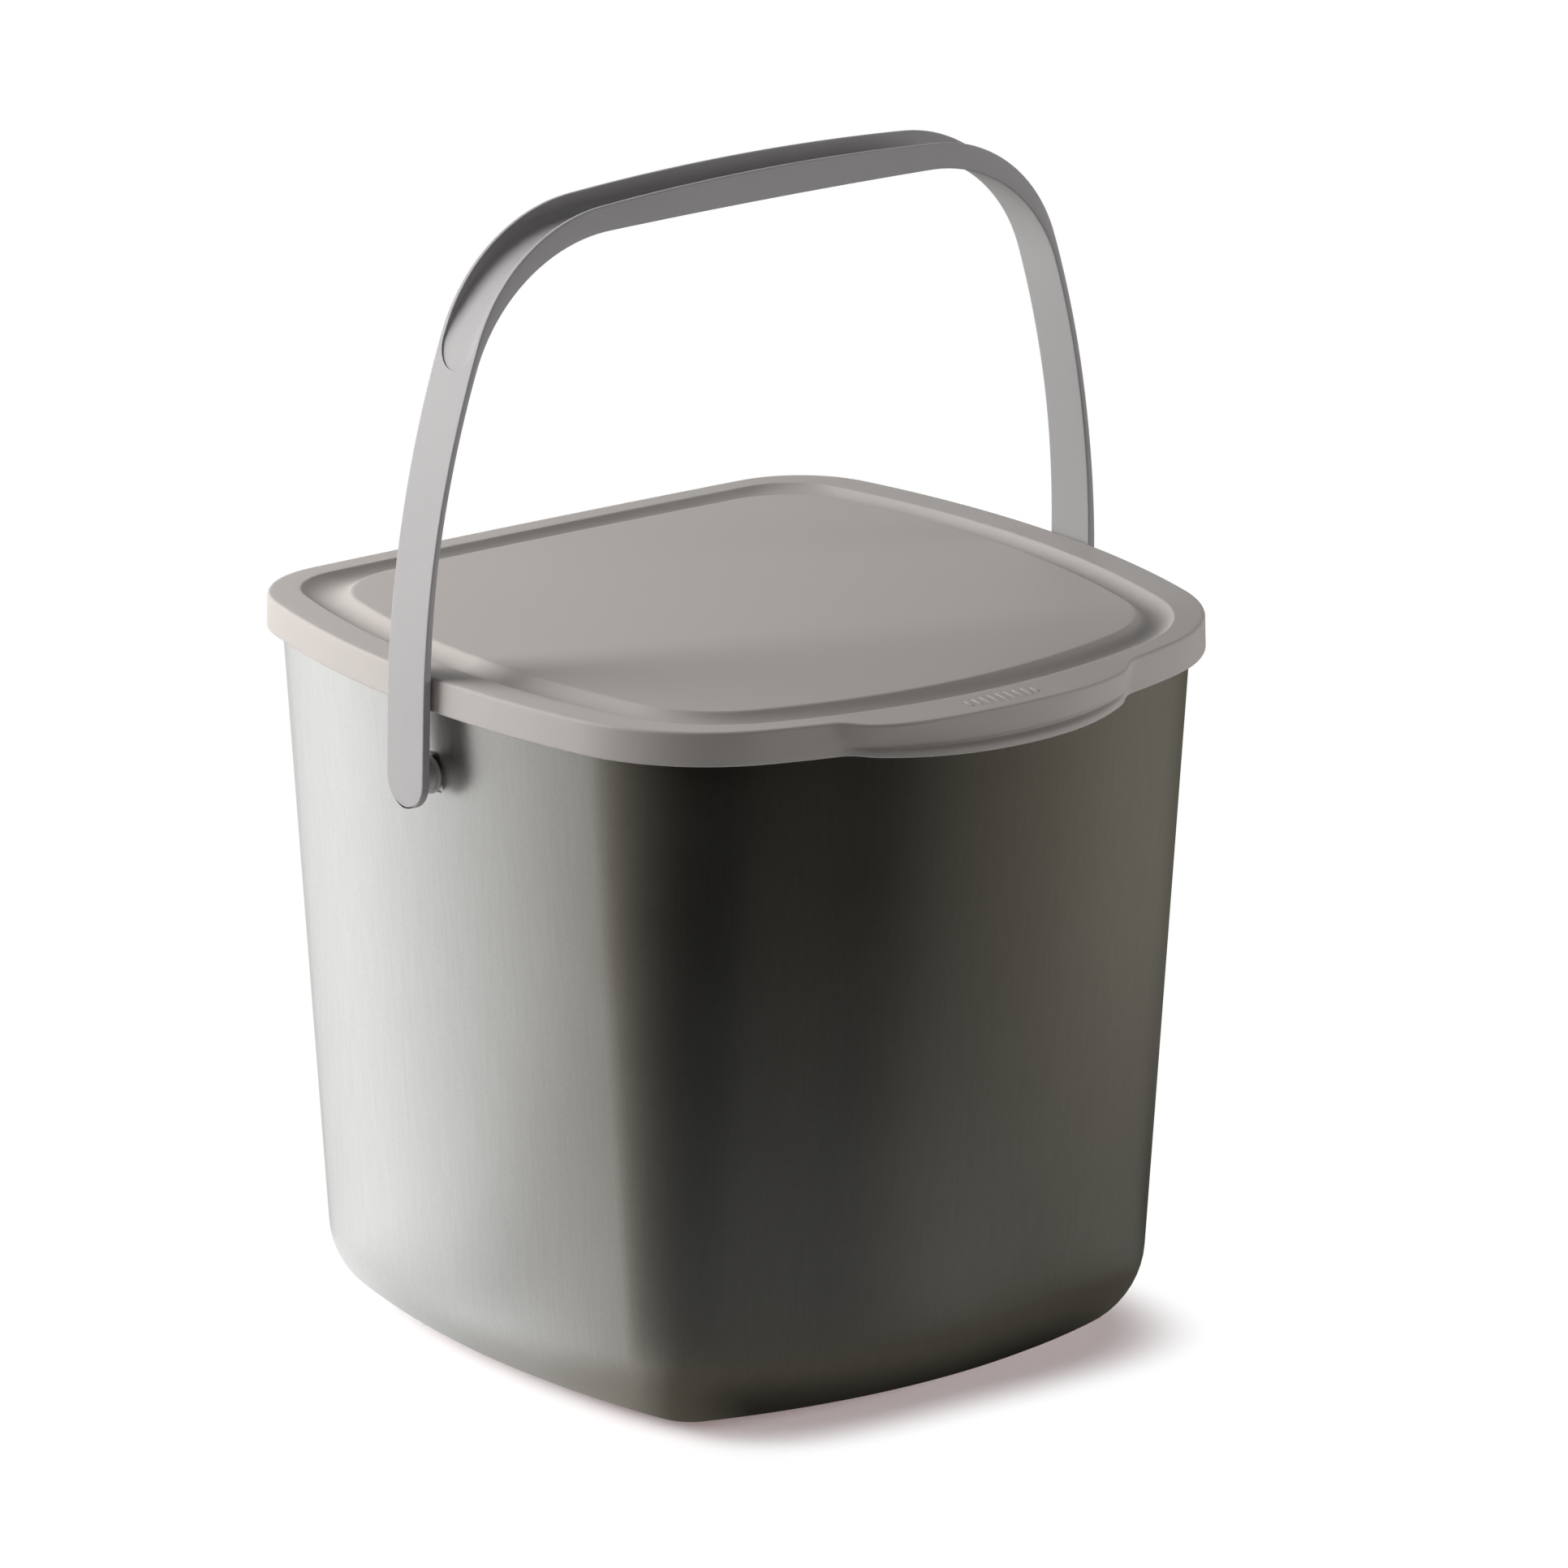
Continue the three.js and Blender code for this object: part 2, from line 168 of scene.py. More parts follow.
def outline_ring(o, counts):
    """A whole outline, anticlockwise seen from above, starting on the right at the widest line."""
    side, front_corner, front, back_corner, back = counts
    rear = quarter_points(o["half"], o["back"], o["side_bow"], o["back_bow"], o["back_corner"],
                          (side, back_corner, back))
    fore = quarter_points(o["half"], o["front"], o["side_bow"], o["front_bow"], o["front_corner"],
                          (side, front_corner, front))
    rear_left = rear[:-1][::-1] * (-1, 1)
    fore_left = fore[1:] * (-1, -1)
    fore_right = fore[1:-1][::-1] * (1, -1)
    return np.concatenate([rear, rear_left, fore_left, fore_right])


def inset(o, side, end=None, least=3.0):
    """The outline drawn in, by its own way at front and back, with corners of at least a radius."""
    end = side if end is None else end
    return dict(half=o["half"] - side, front=o["front"] - end, back=o["back"] - end,
                side_bow=o["side_bow"] - side, front_bow=o["front_bow"] - end, back_bow=o["back_bow"] - end,
                front_corner=max(o["front_corner"] - side, least), back_corner=max(o["back_corner"] - side, least))


def between(low, high, share):
    """An outline part of the way from one to another."""
    return {size: low[size] + (high[size] - low[size]) * share for size in low}


def with_height(ring, height):
    return np.column_stack([ring, np.full(len(ring), float(height))])


def mesh_object(name, verts, faces, smooth=True):
    mesh = bpy.data.meshes.new(name)
    mesh.from_pydata([tuple(v) for v in verts], [], [tuple(f) for f in faces])
    mesh.update()
    if smooth:
        mesh.polygons.foreach_set("use_smooth", [True] * len(mesh.polygons))
    piece = bpy.data.objects.new(name, mesh)
    bpy.context.scene.collection.objects.link(piece)
    return piece


def loft(rings):
    """Vertices and faces of a closed skin over rings in metres, with a fan at each end."""
    count = len(rings[0])
    verts = np.concatenate(rings + [rings[0].mean(0)[None], rings[-1].mean(0)[None]])
    first_centre, last_centre = len(verts) - 2, len(verts) - 1
    last = (len(rings) - 1) * count
    faces = []
    for i in range(count):
        j = (i + 1) % count
        faces.append((first_centre, i, j))
        faces.append((last_centre, last + j, last + i))
        for row in range(len(rings) - 1):
            above, below = row * count, (row + 1) * count
            faces.append((above + i, below + i, below + j, above + j))
    return verts, faces


def shrunk(ring, shares):
    """The ring drawn in towards its middle by each share, for a flat middle."""
    centre = ring.mean(0)
    return [centre + (ring - centre) * share for share in shares]


def turned_on_x(profile, facets):
    """A closed piece turned on the X axis from a closed profile of places along X and radii."""
    profile = np.array(profile, float)
    count = len(profile)
    verts, faces = [], []
    for step in range(facets):
        angle = 2 * math.pi * step / facets
        for along, radius in profile:
            verts.append((along, radius * math.cos(angle), radius * math.sin(angle)))
    for step in range(facets):
        here, there = step * count, (step + 1) % facets * count
        for k in range(count):
            n = (k + 1) % count
            faces.append((here + k, here + n, there + n, there + k))
    return np.array(verts), faces


def spun_on_x(profile, facets):
    """A closed piece turned on the X axis from an open profile, with a fan over each end."""
    angles = np.arange(facets) * 2 * math.pi / facets
    return loft([np.column_stack([np.full(facets, along), radius * np.cos(angles), radius * np.sin(angles)])
                 for along, radius in profile])


def rounded(corners, radii, steps=4):
    """A closed profile with each corner eased by its own radius."""
    corners = [np.array(c, float) for c in corners]
    points = []
    for k, corner in enumerate(corners):
        before = corners[k - 1] - corner
        after = corners[(k + 1) % len(corners)] - corner
        before, after = before / np.linalg.norm(before), after / np.linalg.norm(after)
        if not radii[k]:
            points.append(corner)
            continue
        half = math.acos(max(-1, min(1, float(before @ after)))) / 2
        start, stop = (corner + way * radii[k] / math.tan(half) for way in (before, after))
        middle = (before + after) / np.linalg.norm(before + after)
        centre = corner + middle * radii[k] / math.sin(half)
        for step in range(steps + 1):
            spoke = (start - centre) * (1 - step / steps) + (stop - centre) * step / steps
            points.append(centre + spoke / np.linalg.norm(spoke) * radii[k])
    return points


def outward(piece):
    """Turns a closed mesh's faces to point outwards."""
    mesh = piece.data
    mesh.calc_loop_triangles()
    corners = np.array([v.co for v in mesh.vertices], float)
    triangles = np.array([t.vertices for t in mesh.loop_triangles])
    a, b, c = corners[triangles[:, 0]], corners[triangles[:, 1]], corners[triangles[:, 2]]
    if np.einsum("ij,ij->i", a, np.cross(b, c)).sum() < 0:
        mesh.flip_normals()
    return piece


def settled(piece):
    """The object with its modifiers made part of a plain mesh."""
    graph = bpy.context.evaluated_depsgraph_get()
    mesh = bpy.data.meshes.new_from_object(piece.evaluated_get(graph))
    piece.modifiers.clear()
    old = piece.data
    piece.data = mesh
    mesh.name = piece.name
    if isinstance(old, bpy.types.Mesh):
        bpy.data.meshes.remove(old)
    return piece


def joined(name, parts):
    """One object from several vertex and face lists."""
    verts, faces, start = [], [], 0
    for part_verts, part_faces in parts:
        verts.extend(part_verts)
        faces.extend(tuple(start + i for i in face) for face in part_faces)
        start += len(part_verts)
    return mesh_object(name, verts, faces)


# ---- Node helpers ----

def feed(tree, socket, value):
    """Gives a socket a value, or a wire from another socket."""
    if isinstance(value, bpy.types.NodeSocket):
        tree.links.new(value, socket)
    else:
        socket.default_value = value


def node(tree, kind, x=0, y=0, inputs=None, **settings):
    """A node with its settings, and its inputs fed by name or by place."""
    made = tree.nodes.new(kind)
    made.location = (x, y)
    for key, value in settings.items():
        setattr(made, key, value)
    for key, value in (inputs or {}).items():
        feed(tree, made.inputs[key], value)
    return made


def sums(tree, operation, x, y, *values, **settings):
    """The result of a Math node on numbers or sockets."""
    made = node(tree, "ShaderNodeMath", x, y, dict(enumerate(values)), operation=operation, **settings)
    return made.outputs[0]


def vectors(tree, operation, x, y, *values):
    """The result of a Vector Math node."""
    places = (0, "Scale") if operation == "SCALE" else range(len(values))
    made = node(tree, "ShaderNodeVectorMath", x, y, dict(zip(places, values)), operation=operation)
    return made.outputs["Value" if operation in ("DOT_PRODUCT", "LENGTH") else "Vector"]


def along_axes(tree, x, y, **parts):
    """A vector from its named parts."""
    return node(tree, "ShaderNodeCombineXYZ", x, y, parts).outputs[0]


def spread(tree, x, y, value, low, high, to_low=0.0, to_high=1.0, **settings):
    """The result of a Map Range node."""
    ends = {"Value": value, "From Min": low, "From Max": high, "To Min": to_low, "To Max": to_high}
    return node(tree, "ShaderNodeMapRange", x, y, ends, **settings).outputs["Result"]


def mixed_colour(tree, x, y, share, low, high):
    """The colour from low to high by a share."""
    ends = {"Factor": share, "A": low, "B": high}
    return node(tree, "ShaderNodeMix", x, y, ends, data_type="RGBA").outputs["Result"]


def new_tree(name, kind, inputs, outputs):
    """A node group with named sockets: the tree, what it is given and where its results go."""
    tree = bpy.data.node_groups.new(name, kind)
    for way, sockets in (("INPUT", inputs), ("OUTPUT", outputs)):
        for socket_name, socket_kind, *default in sockets:
            socket = tree.interface.new_socket(name=socket_name, in_out=way,
                                               socket_type="NodeSocket" + socket_kind)
            if default:
                socket.default_value = default[0]
    return tree, node(tree, "NodeGroupInput", -1800).outputs, node(tree, "NodeGroupOutput", 1600).inputs


def set_inputs(modifier, values):
    """Sets a Geometry Nodes modifier's inputs by their sockets' identifiers."""
    for item in modifier.node_group.interface.items_tree:
        if item.item_type == "SOCKET" and item.in_out == "INPUT" and item.name in values:
            modifier[item.identifier] = values[item.name]


# ---- Surface effects shared by the materials ----

SKIN_RESULTS = [("Color", "Color"), ("Roughness", "Float"), ("Height", "Float")]


def noise(tree, x, y, **values):
    """The value of a Noise Texture."""
    return node(tree, "ShaderNodeTexNoise", x, y, values).outputs["Fac"]


def moulded_grain_group():
    """Fine spark-eroded mould texture with a slow drift of tone."""
    tree, given, results = new_tree("moulded_grain", "ShaderNodeTree", [
        ("Tone", "Color", (0.4, 0.38, 0.36, 1)), ("Deep Tone", "Color", (0.36, 0.34, 0.32, 1)),
        ("Drift Scale", "Float", 14.0), ("Grain Scale", "Float", 1500.0), ("Grain Strength", "Float", 0.25),
        ("Dull Roughness", "Float", 0.62), ("Smooth Roughness", "Float", 0.5)], SKIN_RESULTS)
    place = node(tree, "ShaderNodeTexCoord", -1100, 300).outputs["Object"]
    drift = noise(tree, -600, 300, Vector=place, Scale=given["Drift Scale"], Detail=4, Roughness=0.6)
    grain = noise(tree, -600, -100, Vector=place, Scale=given["Grain Scale"], Detail=3, Roughness=0.65)
    pits = node(tree, "ShaderNodeTexVoronoi", -600, -400,
                {"Vector": place, "Scale": given["Grain Scale"], "Smoothness": 0.6}, feature="SMOOTH_F1")
    speckle = sums(tree, "MULTIPLY_ADD", -350, -100, grain, 0.5, spread(tree, -350, 300, drift, 0.35, 0.65))
    share = sums(tree, "MULTIPLY", -100, -100, speckle, 0.66, use_clamp=True)
    relief = sums(tree, "MULTIPLY_ADD", -100, -400, pits.outputs["Distance"], 0.6, grain)
    feed(tree, results["Color"], mixed_colour(tree, 150, 250, share, given["Deep Tone"], given["Tone"]))
    feed(tree, results["Roughness"],
         spread(tree, 150, 0, share, 0.0, 1.0, given["Smooth Roughness"], given["Dull Roughness"]))
    feed(tree, results["Height"], sums(tree, "MULTIPLY", 150, -400, relief, given["Grain Strength"]))
    return tree


def satin_steel_group():
    """Drawn steel with a satin skin: fine upright draw marks, tiny pits and faint cloudy smears."""
    tree, given, results = new_tree("satin_steel", "ShaderNodeTree", [
        ("Tone", "Color", (0.62, 0.605, 0.585, 1)), ("Deep Tone", "Color", (0.52, 0.505, 0.48, 1)),
        ("Line Scale", "Float", 900.0), ("Line Stretch", "Float", 0.04), ("Speck Scale", "Float", 1300.0),
        ("Relief", "Float", 0.3), ("Least Roughness", "Float", 0.28), ("Most Roughness", "Float", 0.38)], SKIN_RESULTS)
    place = node(tree, "ShaderNodeTexCoord", -1100, 300).outputs["Object"]
    stretch = along_axes(tree, -900, 100, X=1, Y=1, Z=given["Line Stretch"])
    drawn = vectors(tree, "MULTIPLY", -700, 200, place, stretch)
    lines = noise(tree, -500, 250, Vector=drawn, Scale=given["Line Scale"], Detail=3)
    specks = noise(tree, -500, -50, Vector=place, Scale=given["Speck Scale"], Detail=2)
    clouds = noise(tree, -500, -350, Vector=place, Scale=22, Detail=5, Distortion=0.6)
    fine = sums(tree, "ADD", -250, 100, lines, specks)
    share = spread(tree, 150, 0, sums(tree, "ADD", -50, 0, fine, clouds), 1.1, 1.9)
    feed(tree, results["Color"], mixed_colour(tree, 400, 250, share, given["Deep Tone"], given["Tone"]))
    feed(tree, results["Roughness"],
         spread(tree, 400, 0, clouds, 0.3, 0.7, given["Least Roughness"], given["Most Roughness"]))
    feed(tree, results["Height"], sums(tree, "MULTIPLY", 400, -300, fine, given["Relief"]))
    return tree


moulded_grain = moulded_grain_group()
satin_steel = satin_steel_group()


def finish_material(name, effect, values, relief_distance, metallic=0.0):
    """A material whose colour, roughness and relief come from one of the surface effects."""
    material = bpy.data.materials.new(name)
    material.use_nodes = True
    tree = material.node_tree
    shader = tree.nodes["Principled BSDF"]
    skin = node(tree, "ShaderNodeGroup", -500, 100, values, node_tree=effect).outputs
    bump = node(tree, "ShaderNodeBump", -250, -200, {"Distance": relief_distance, "Height": skin["Height"]})
    for socket, value in (("Base Color", skin["Color"]), ("Roughness", skin["Roughness"]),
                          ("Normal", bump.outputs["Normal"]), ("Metallic", metallic)):
        feed(tree, shader.inputs[socket], value)
    return material


steel_skin = finish_material(
    "satin_steel_skin", satin_steel,
    {"Tone": (0.765, 0.765, 0.75, 1), "Deep Tone": (0.69, 0.685, 0.665, 1), "Relief": 0.08,
     "Least Roughness": 0.28, "Most Roughness": 0.32}, 0.00002, metallic=1.0)
lid_plastic = finish_material(
    "lid_plastic", moulded_grain,
    {"Tone": (0.396, 0.368, 0.349, 1), "Deep Tone": (0.357, 0.332, 0.314, 1)}, 0.00004)
handle_plastic = finish_material(
    "handle_plastic", moulded_grain,
    {"Tone": (0.336, 0.323, 0.325, 1), "Deep Tone": (0.306, 0.295, 0.297, 1), "Grain Scale": 1700.0}, 0.00003)
spacer_plastic = finish_material(
    "spacer_plastic", moulded_grain,
    {"Tone": (0.46, 0.445, 0.43, 1), "Deep Tone": (0.4, 0.387, 0.374, 1), "Grain Strength": 0.05,
     "Dull Roughness": 0.26, "Smooth Roughness": 0.2}, 0.00002)
fastener_steel = finish_material(
    "fastener_steel", satin_steel,
    {"Tone": (0.6, 0.595, 0.58, 1), "Deep Tone": (0.42, 0.415, 0.4, 1), "Line Stretch": 1.0,
     "Least Roughness": 0.28, "Most Roughness": 0.38}, 0.00002, metallic=1.0)


# ---- Geometry Nodes helpers ----

def grown(piece, tree, values):
    """Runs a Geometry Nodes tree on the piece and keeps the result as a plain mesh facing outwards."""
    modifier = piece.modifiers.new(tree.name, "NODES")
    modifier.node_group = tree
    set_inputs(modifier, values)
    settled(piece)
    for extra in [a.name for a in piece.data.attributes if not a.is_internal and not a.is_required
                  and a.name not in ("material_index", "sharp_face", "sharp_edge")]:
        piece.data.attributes.remove(piece.data.attributes[extra])
    return outward(piece)


def path_object(name, points, closed, attributes=None):
    """A line of edges through the points, which may carry named values."""
    mesh = bpy.data.meshes.new(name)
    count = len(points)
    edges = [(i, i + 1) for i in range(count - 1)] + ([(count - 1, 0)] if closed else [])
    mesh.from_pydata([tuple(p) for p in points], edges, [])
    for key, values in (attributes or {}).items():
        values = np.array(values, np.float32)
        kind = "FLOAT_VECTOR" if values.ndim == 2 else "FLOAT"
        stored = mesh.attributes.new(key, kind, "POINT")
        stored.data.foreach_set("vector" if values.ndim == 2 else "value", values.ravel())
    piece = bpy.data.objects.new(name, mesh)
    bpy.context.scene.collection.objects.link(piece)
    return piece


def shaded_smooth(tree, x, y, geometry):
    return node(tree, "GeometryNodeSetShadeSmooth", x, y, {0: geometry}).outputs[0]


def finished(tree, x, y, geometry, finish, result):
    """Ends a tree: its instances are made real and its finish is set."""
    real = node(tree, "GeometryNodeRealizeInstances", x, y, {0: geometry})
    coat = node(tree, "GeometryNodeSetMaterial", x + 200, y, {0: real.outputs[0], "Material": finish})
    feed(tree, result, coat.outputs[0])
    return tree


def cut_away(piece, cutter, name):
    """Takes the cutter's shape out of the piece."""
    cut = piece.modifiers.new(name, "BOOLEAN")
    cut.object, cut.operation, cut.solver = cutter, "DIFFERENCE", "EXACT"
    settled(piece)
    bpy.data.objects.remove(cutter)


# ---- The bin: one drawn sheet with a rounded foot, pierced for the pivots ----

WALL_COUNTS = (16, 22, 30, 18, 10)
TOP_OUTLINE = inset(LID_OUTLINE, SHELL_INSET)


def wall_ring(height, inward, least=3.0):
    """The tapered bin's outline at a height, a way inside its outer skin."""
    outline = between(BASE_OUTLINE, TOP_OUTLINE, height / LID_TOP)
    return with_height(outline_ring(inset(outline, inward, least=least), WALL_COUNTS), height) * MM


def skin_rings(inside):
    """Rings from the flat bottom up the foot's curve and the wall, a distance inside the outer skin."""
    rings = []
    radius = FOOT_RADIUS - inside
    for angle in np.linspace(0, math.pi / 2, 15):
        height = FOOT_RADIUS - radius * math.cos(angle)
        inward = FOOT_RADIUS - radius * math.sin(angle)
        rings.append(wall_ring(height, inward, least=FOOT_CORNER + math.sin(angle)))
    for height in np.linspace(FOOT_RADIUS, SHELL_TOP - BEAD_RADIUS, 30)[1:]:
        rings.append(wall_ring(height, inside, least=WALL_CORNER))
    return rings


def bin_wall():
    inner, outer = skin_rings(SHELL_THICKNESS), skin_rings(0)
    middle = (0.03, 0.3, 0.6, 0.85)
    rings = shrunk(inner[0], middle) + inner + outer[::-1] + shrunk(outer[0], middle)[::-1]
    wall = outward(mesh_object("bin_wall", *loft(rings)))
    wall.data.materials.append(steel_skin)
    reach = (LID_OUTLINE["half"] + 20) * MM
    verts, faces = spun_on_x([(-reach, PIVOT_HOLE_RADIUS * MM), (reach, PIVOT_HOLE_RADIUS * MM)], 48)
    cut_away(wall, outward(mesh_object("pivot_pin", verts + PIVOT, faces)), "pivot_holes")
    return wall


# ---- The curled bead at the bin's mouth, swept along the wall's top edge ----

def bead_tree():
    tree, given, results = new_tree("curled_bead", "GeometryNodeTree", [
        ("Path", "Geometry"), ("Bead Radius", "Float", 0.001), ("Round Facets", "Int", 20), ("Finish", "Material")],
        [("Geometry", "Geometry")])
    path = node(tree, "GeometryNodeMeshToCurve", -300, 0, {0: given["Path"]})
    profile = node(tree, "GeometryNodeCurvePrimitiveCircle", -300, -250,
                   {"Radius": given["Bead Radius"], "Resolution": given["Round Facets"]})
    sweep = node(tree, "GeometryNodeCurveToMesh", 0, 0,
                 {"Curve": path.outputs[0], "Profile Curve": profile.outputs[0]})
    return finished(tree, 400, 0, shaded_smooth(tree, 200, 0, sweep.outputs[0]), given["Finish"], results[0])


def mouth_bead():
    line = wall_ring(SHELL_TOP - BEAD_RADIUS, SHELL_THICKNESS - BEAD_RADIUS)
    return grown(path_object("mouth_bead", line, True), bead_tree(),
                 {"Bead Radius": BEAD_RADIUS * MM, "Round Facets": 20, "Finish": steel_skin})


# ---- The lid: rim, groove, raised panel, skirt and finger tab ----

LID_COUNTS = (16, 26, 44, 20, 10)


def tab_share(x, half_width=TAB_HALF_WIDTH, bluntness=TAB_BLUNTNESS):
    """How far the tab stands out across the front, as a share of its reach in the middle."""
    place = np.minimum(np.abs(x) / half_width, 1)
    ease = np.clip((1 - place) / TAB_END_EASE, 0, 1)
    return (1 - place ** bluntness) * ease * ease * (3 - 2 * ease)


def lid_ring(inward, height, reach=0.0, drop=0.0, end=None, crease=0.0, least=3.0):
    """A level of the lid. The tab pushes it out and down, as much as crease says along the blunter top crease."""
    ring = outline_ring(inset(LID_OUTLINE, inward, end, least), LID_COUNTS)
    front = ring[:, 1] < 0
    share = np.where(front, tab_share(ring[:, 0]), 0)
    blunt = np.where(front, tab_share(ring[:, 0], TAB_CREASE_HALF_WIDTH, TAB_CREASE_BLUNTNESS), 0)
    fall = TAB_CREASE_FALL * (ring[:, 0] / TAB_CREASE_HALF_WIDTH) ** 2 * blunt
    out = reach * (share + (blunt - share) * crease)
    return np.column_stack([ring[:, 0], ring[:, 1] - out, height - drop * share - fall * crease]) * MM


def groove_section():
    """The groove from the rim in to the panel: eased edges and a round hollow, as ways in and heights."""
    steps = 8
    flat = 1 - math.cos(GROOVE_SLOPE)
    rim_round = (GROOVE_DEPTH - RIM_EASE * flat) / flat
    panel_round = (GROOVE_DEPTH + PANEL_RISE - PANEL_EASE * flat) / flat
    way, points = 0.0, [(0.0, 0.0)]
    for radius, start, stop, sign in ((RIM_EASE, 0, 1, -1), (rim_round, 1, 0, -1),
                                      (panel_round, 0, 1, 1), (PANEL_EASE, 1, 0, 1)):
        for step in range(steps):
            low, high = (GROOVE_SLOPE * (start + (stop - start) * (step + k) / steps) for k in (0, 1))
            way += radius * abs(math.sin(high) - math.sin(low))
            points.append((way, points[-1][1] + sign * radius * abs(math.cos(high) - math.cos(low))))
    return points


def groove_rings(lowered):
    """From the panel's edge out to the rim's inner edge."""
    section = groove_section()
    width, rim_corner = section[-1][0], LID_OUTLINE["back_corner"] - RIM_WIDTH
    return [lid_ring(RIM_WIDTH + way, LID_TOP - lowered + height, end=RIM_END_WIDTH + way,
                     least=rim_corner + (PANEL_CORNER - rim_corner) * way / width)
            for way, height in section[::-1]]


def skirt_reach(share):
    """The tab's reach down the skirt: a straight face, an undercut, then the lip that stands out below it."""
    lip_line = 1 - TAB_LIP_HEIGHT / SKIRT_HEIGHT
    low_face = TAB_SKIRT_REACH - TAB_FACE_DRAFT
    shares, reaches = zip(
        (0, TAB_TOP_REACH), (lip_line - TAB_UNDERCUT / SKIRT_HEIGHT, low_face),
        (lip_line, low_face - TAB_UNDERCUT * 0.6), (lip_line + 0.06, TAB_LIP_REACH - 0.9),
        (lip_line + 0.11, TAB_LIP_REACH - 0.2), (1, TAB_LIP_REACH))
    return float(np.interp(share, shares, reaches))


def lid_moulding():
    edge, foot_edge = LID_EDGE_RADIUS, SKIRT_FOOT_RADIUS
    skirt_foot = LID_TOP - SKIRT_HEIGHT + foot_edge
    underside = LID_TOP - LID_THICKNESS
    top = groove_rings(0)
    rings = shrunk(top[0], (0.02, 0.25, 0.5, 0.75, 0.93, 0.985)) + top
    for share in (0.15, 0.5, 0.85):
        inward, end = (w + (edge - w) * share for w in (RIM_WIDTH, RIM_END_WIDTH))
        rings.append(lid_ring(inward, LID_TOP, TAB_TOP_REACH * share, TAB_TOP_DROP * share, end, share))
    for angle in np.linspace(0, math.pi / 2, 7):
        inward, height = edge * (1 - math.sin(angle)), LID_TOP - edge * (1 - math.cos(angle))
        rings.append(lid_ring(inward, height, TAB_TOP_REACH, TAB_TOP_DROP, crease=1))
    for share in (0.03, 0.1, 0.2, 0.35, 0.5, 0.6, 0.66, 0.7, 0.74, 0.77, 0.785, 0.81, 0.835, 0.86, 0.89, 0.95):
        height = LID_TOP - edge + (skirt_foot - LID_TOP + edge) * share
        drop = TAB_TOP_DROP * (1 - share) + TAB_LIP_DROP * share
        crease = 1 - min(share * 1.5, 1)
        rings.append(lid_ring(-SKIRT_DRAFT * share, height, skirt_reach(share), drop, crease=crease))
    for wall, way, start, stop in ((0, 1, 0, math.pi / 2), (SKIRT_THICKNESS, -1, math.pi / 2, 0)):
        for angle in np.linspace(start, stop, 5):
            rings.append(lid_ring(wall - SKIRT_DRAFT + way * foot_edge * (1 - math.cos(angle)),
                                  skirt_foot - foot_edge * math.sin(angle), TAB_LIP_REACH, TAB_LIP_DROP))
    for share in (0.9, 0.75, 0.5, 0.25, 0.05):
        inward, height = SKIRT_THICKNESS - SKIRT_DRAFT * share, underside + (skirt_foot - underside) * share
        reach = skirt_reach(share) * share + TAB_TOP_REACH * (1 - share)
        rings.append(lid_ring(inward, height, reach, TAB_LIP_DROP * share))
    rings.append(lid_ring(SKIRT_THICKNESS, underside, TAB_TOP_REACH))
    under = groove_rings(LID_THICKNESS)
    rings += under[::-1] + shrunk(under[0], (0.98, 0.7, 0.4, 0.02))
    lid = outward(mesh_object("lid_moulding", *loft(rings)))
    lid.data.materials.append(lid_plastic)
    return lid


# ---- Finger ribs on the tab, in an oval patch ----

def rib_tree():
    tree, given, results = new_tree("finger_ribs", "GeometryNodeTree", [
        ("Base", "Geometry"), ("Rib Count", "Int", 9), ("Rib Pitch", "Float", 0.0025),
        ("Rib Width", "Float", 0.0011), ("Rib Length", "Float", 0.0065), ("Rib Height", "Float", 0.0003),
        ("Patch Place", "Vector", (0, -0.105, 0.185)), ("Patch Tilt", "Float", 0.08),
        ("Edge Bow", "Float", 0.18), ("Finish", "Material")], [("Geometry", "Geometry")])
    row = node(tree, "GeometryNodeMeshLine", -900, 200,
               {"Count": given["Rib Count"], "Offset": along_axes(tree, -1200, 0, X=given["Rib Pitch"])})
    half = sums(tree, "MULTIPLY", -1200, -350, sums(tree, "SUBTRACT", -1400, -350, given["Rib Count"], 1), 0.5)
    place = node(tree, "GeometryNodeInputIndex", -1400, -200).outputs[0]
    from_middle = sums(tree, "SUBTRACT", -1000, -250, place, half)
    across = sums(tree, "MULTIPLY", -800, -250, from_middle, given["Rib Pitch"])
    sag = sums(tree, "DIVIDE", -400, -250, sums(tree, "MULTIPLY", -600, -250, across, across),
               sums(tree, "MULTIPLY", -600, -400, given["Edge Bow"], 2))
    there = vectors(tree, "ADD", 0, -250, along_axes(tree, -200, -250, X=across, Y=sag), given["Patch Place"])
    put = node(tree, "GeometryNodeSetPosition", 200, 200, {"Geometry": row.outputs[0], "Position": there})
    rib = node(tree, "GeometryNodeMeshUVSphere", 0, 0, {"Segments": 20, "Rings": 10, "Radius": 0.5})
    share = sums(tree, "DIVIDE", -800, -600, from_middle, sums(tree, "ADD", -1000, -600, half, 0.9))
    left_over = sums(tree, "SUBTRACT", -400, -600, 1, sums(tree, "MULTIPLY", -600, -600, share, share))
    length = sums(tree, "MULTIPLY", 0, -600, sums(tree, "SQRT", -200, -600, left_over), given["Rib Length"])
    size = along_axes(tree, 250, -600, X=given["Rib Width"], Y=length,
                      Z=sums(tree, "MULTIPLY", 0, -750, given["Rib Height"], 2))
    each = node(tree, "GeometryNodeInstanceOnPoints", 500, 200, {
        "Points": put.outputs[0], "Instance": shaded_smooth(tree, 250, 0, rib.outputs["Mesh"]),
        "Rotation": along_axes(tree, 250, -400, X=given["Patch Tilt"]), "Scale": size})
    return finished(tree, 700, 200, each.outputs[0], given["Finish"], results[0])


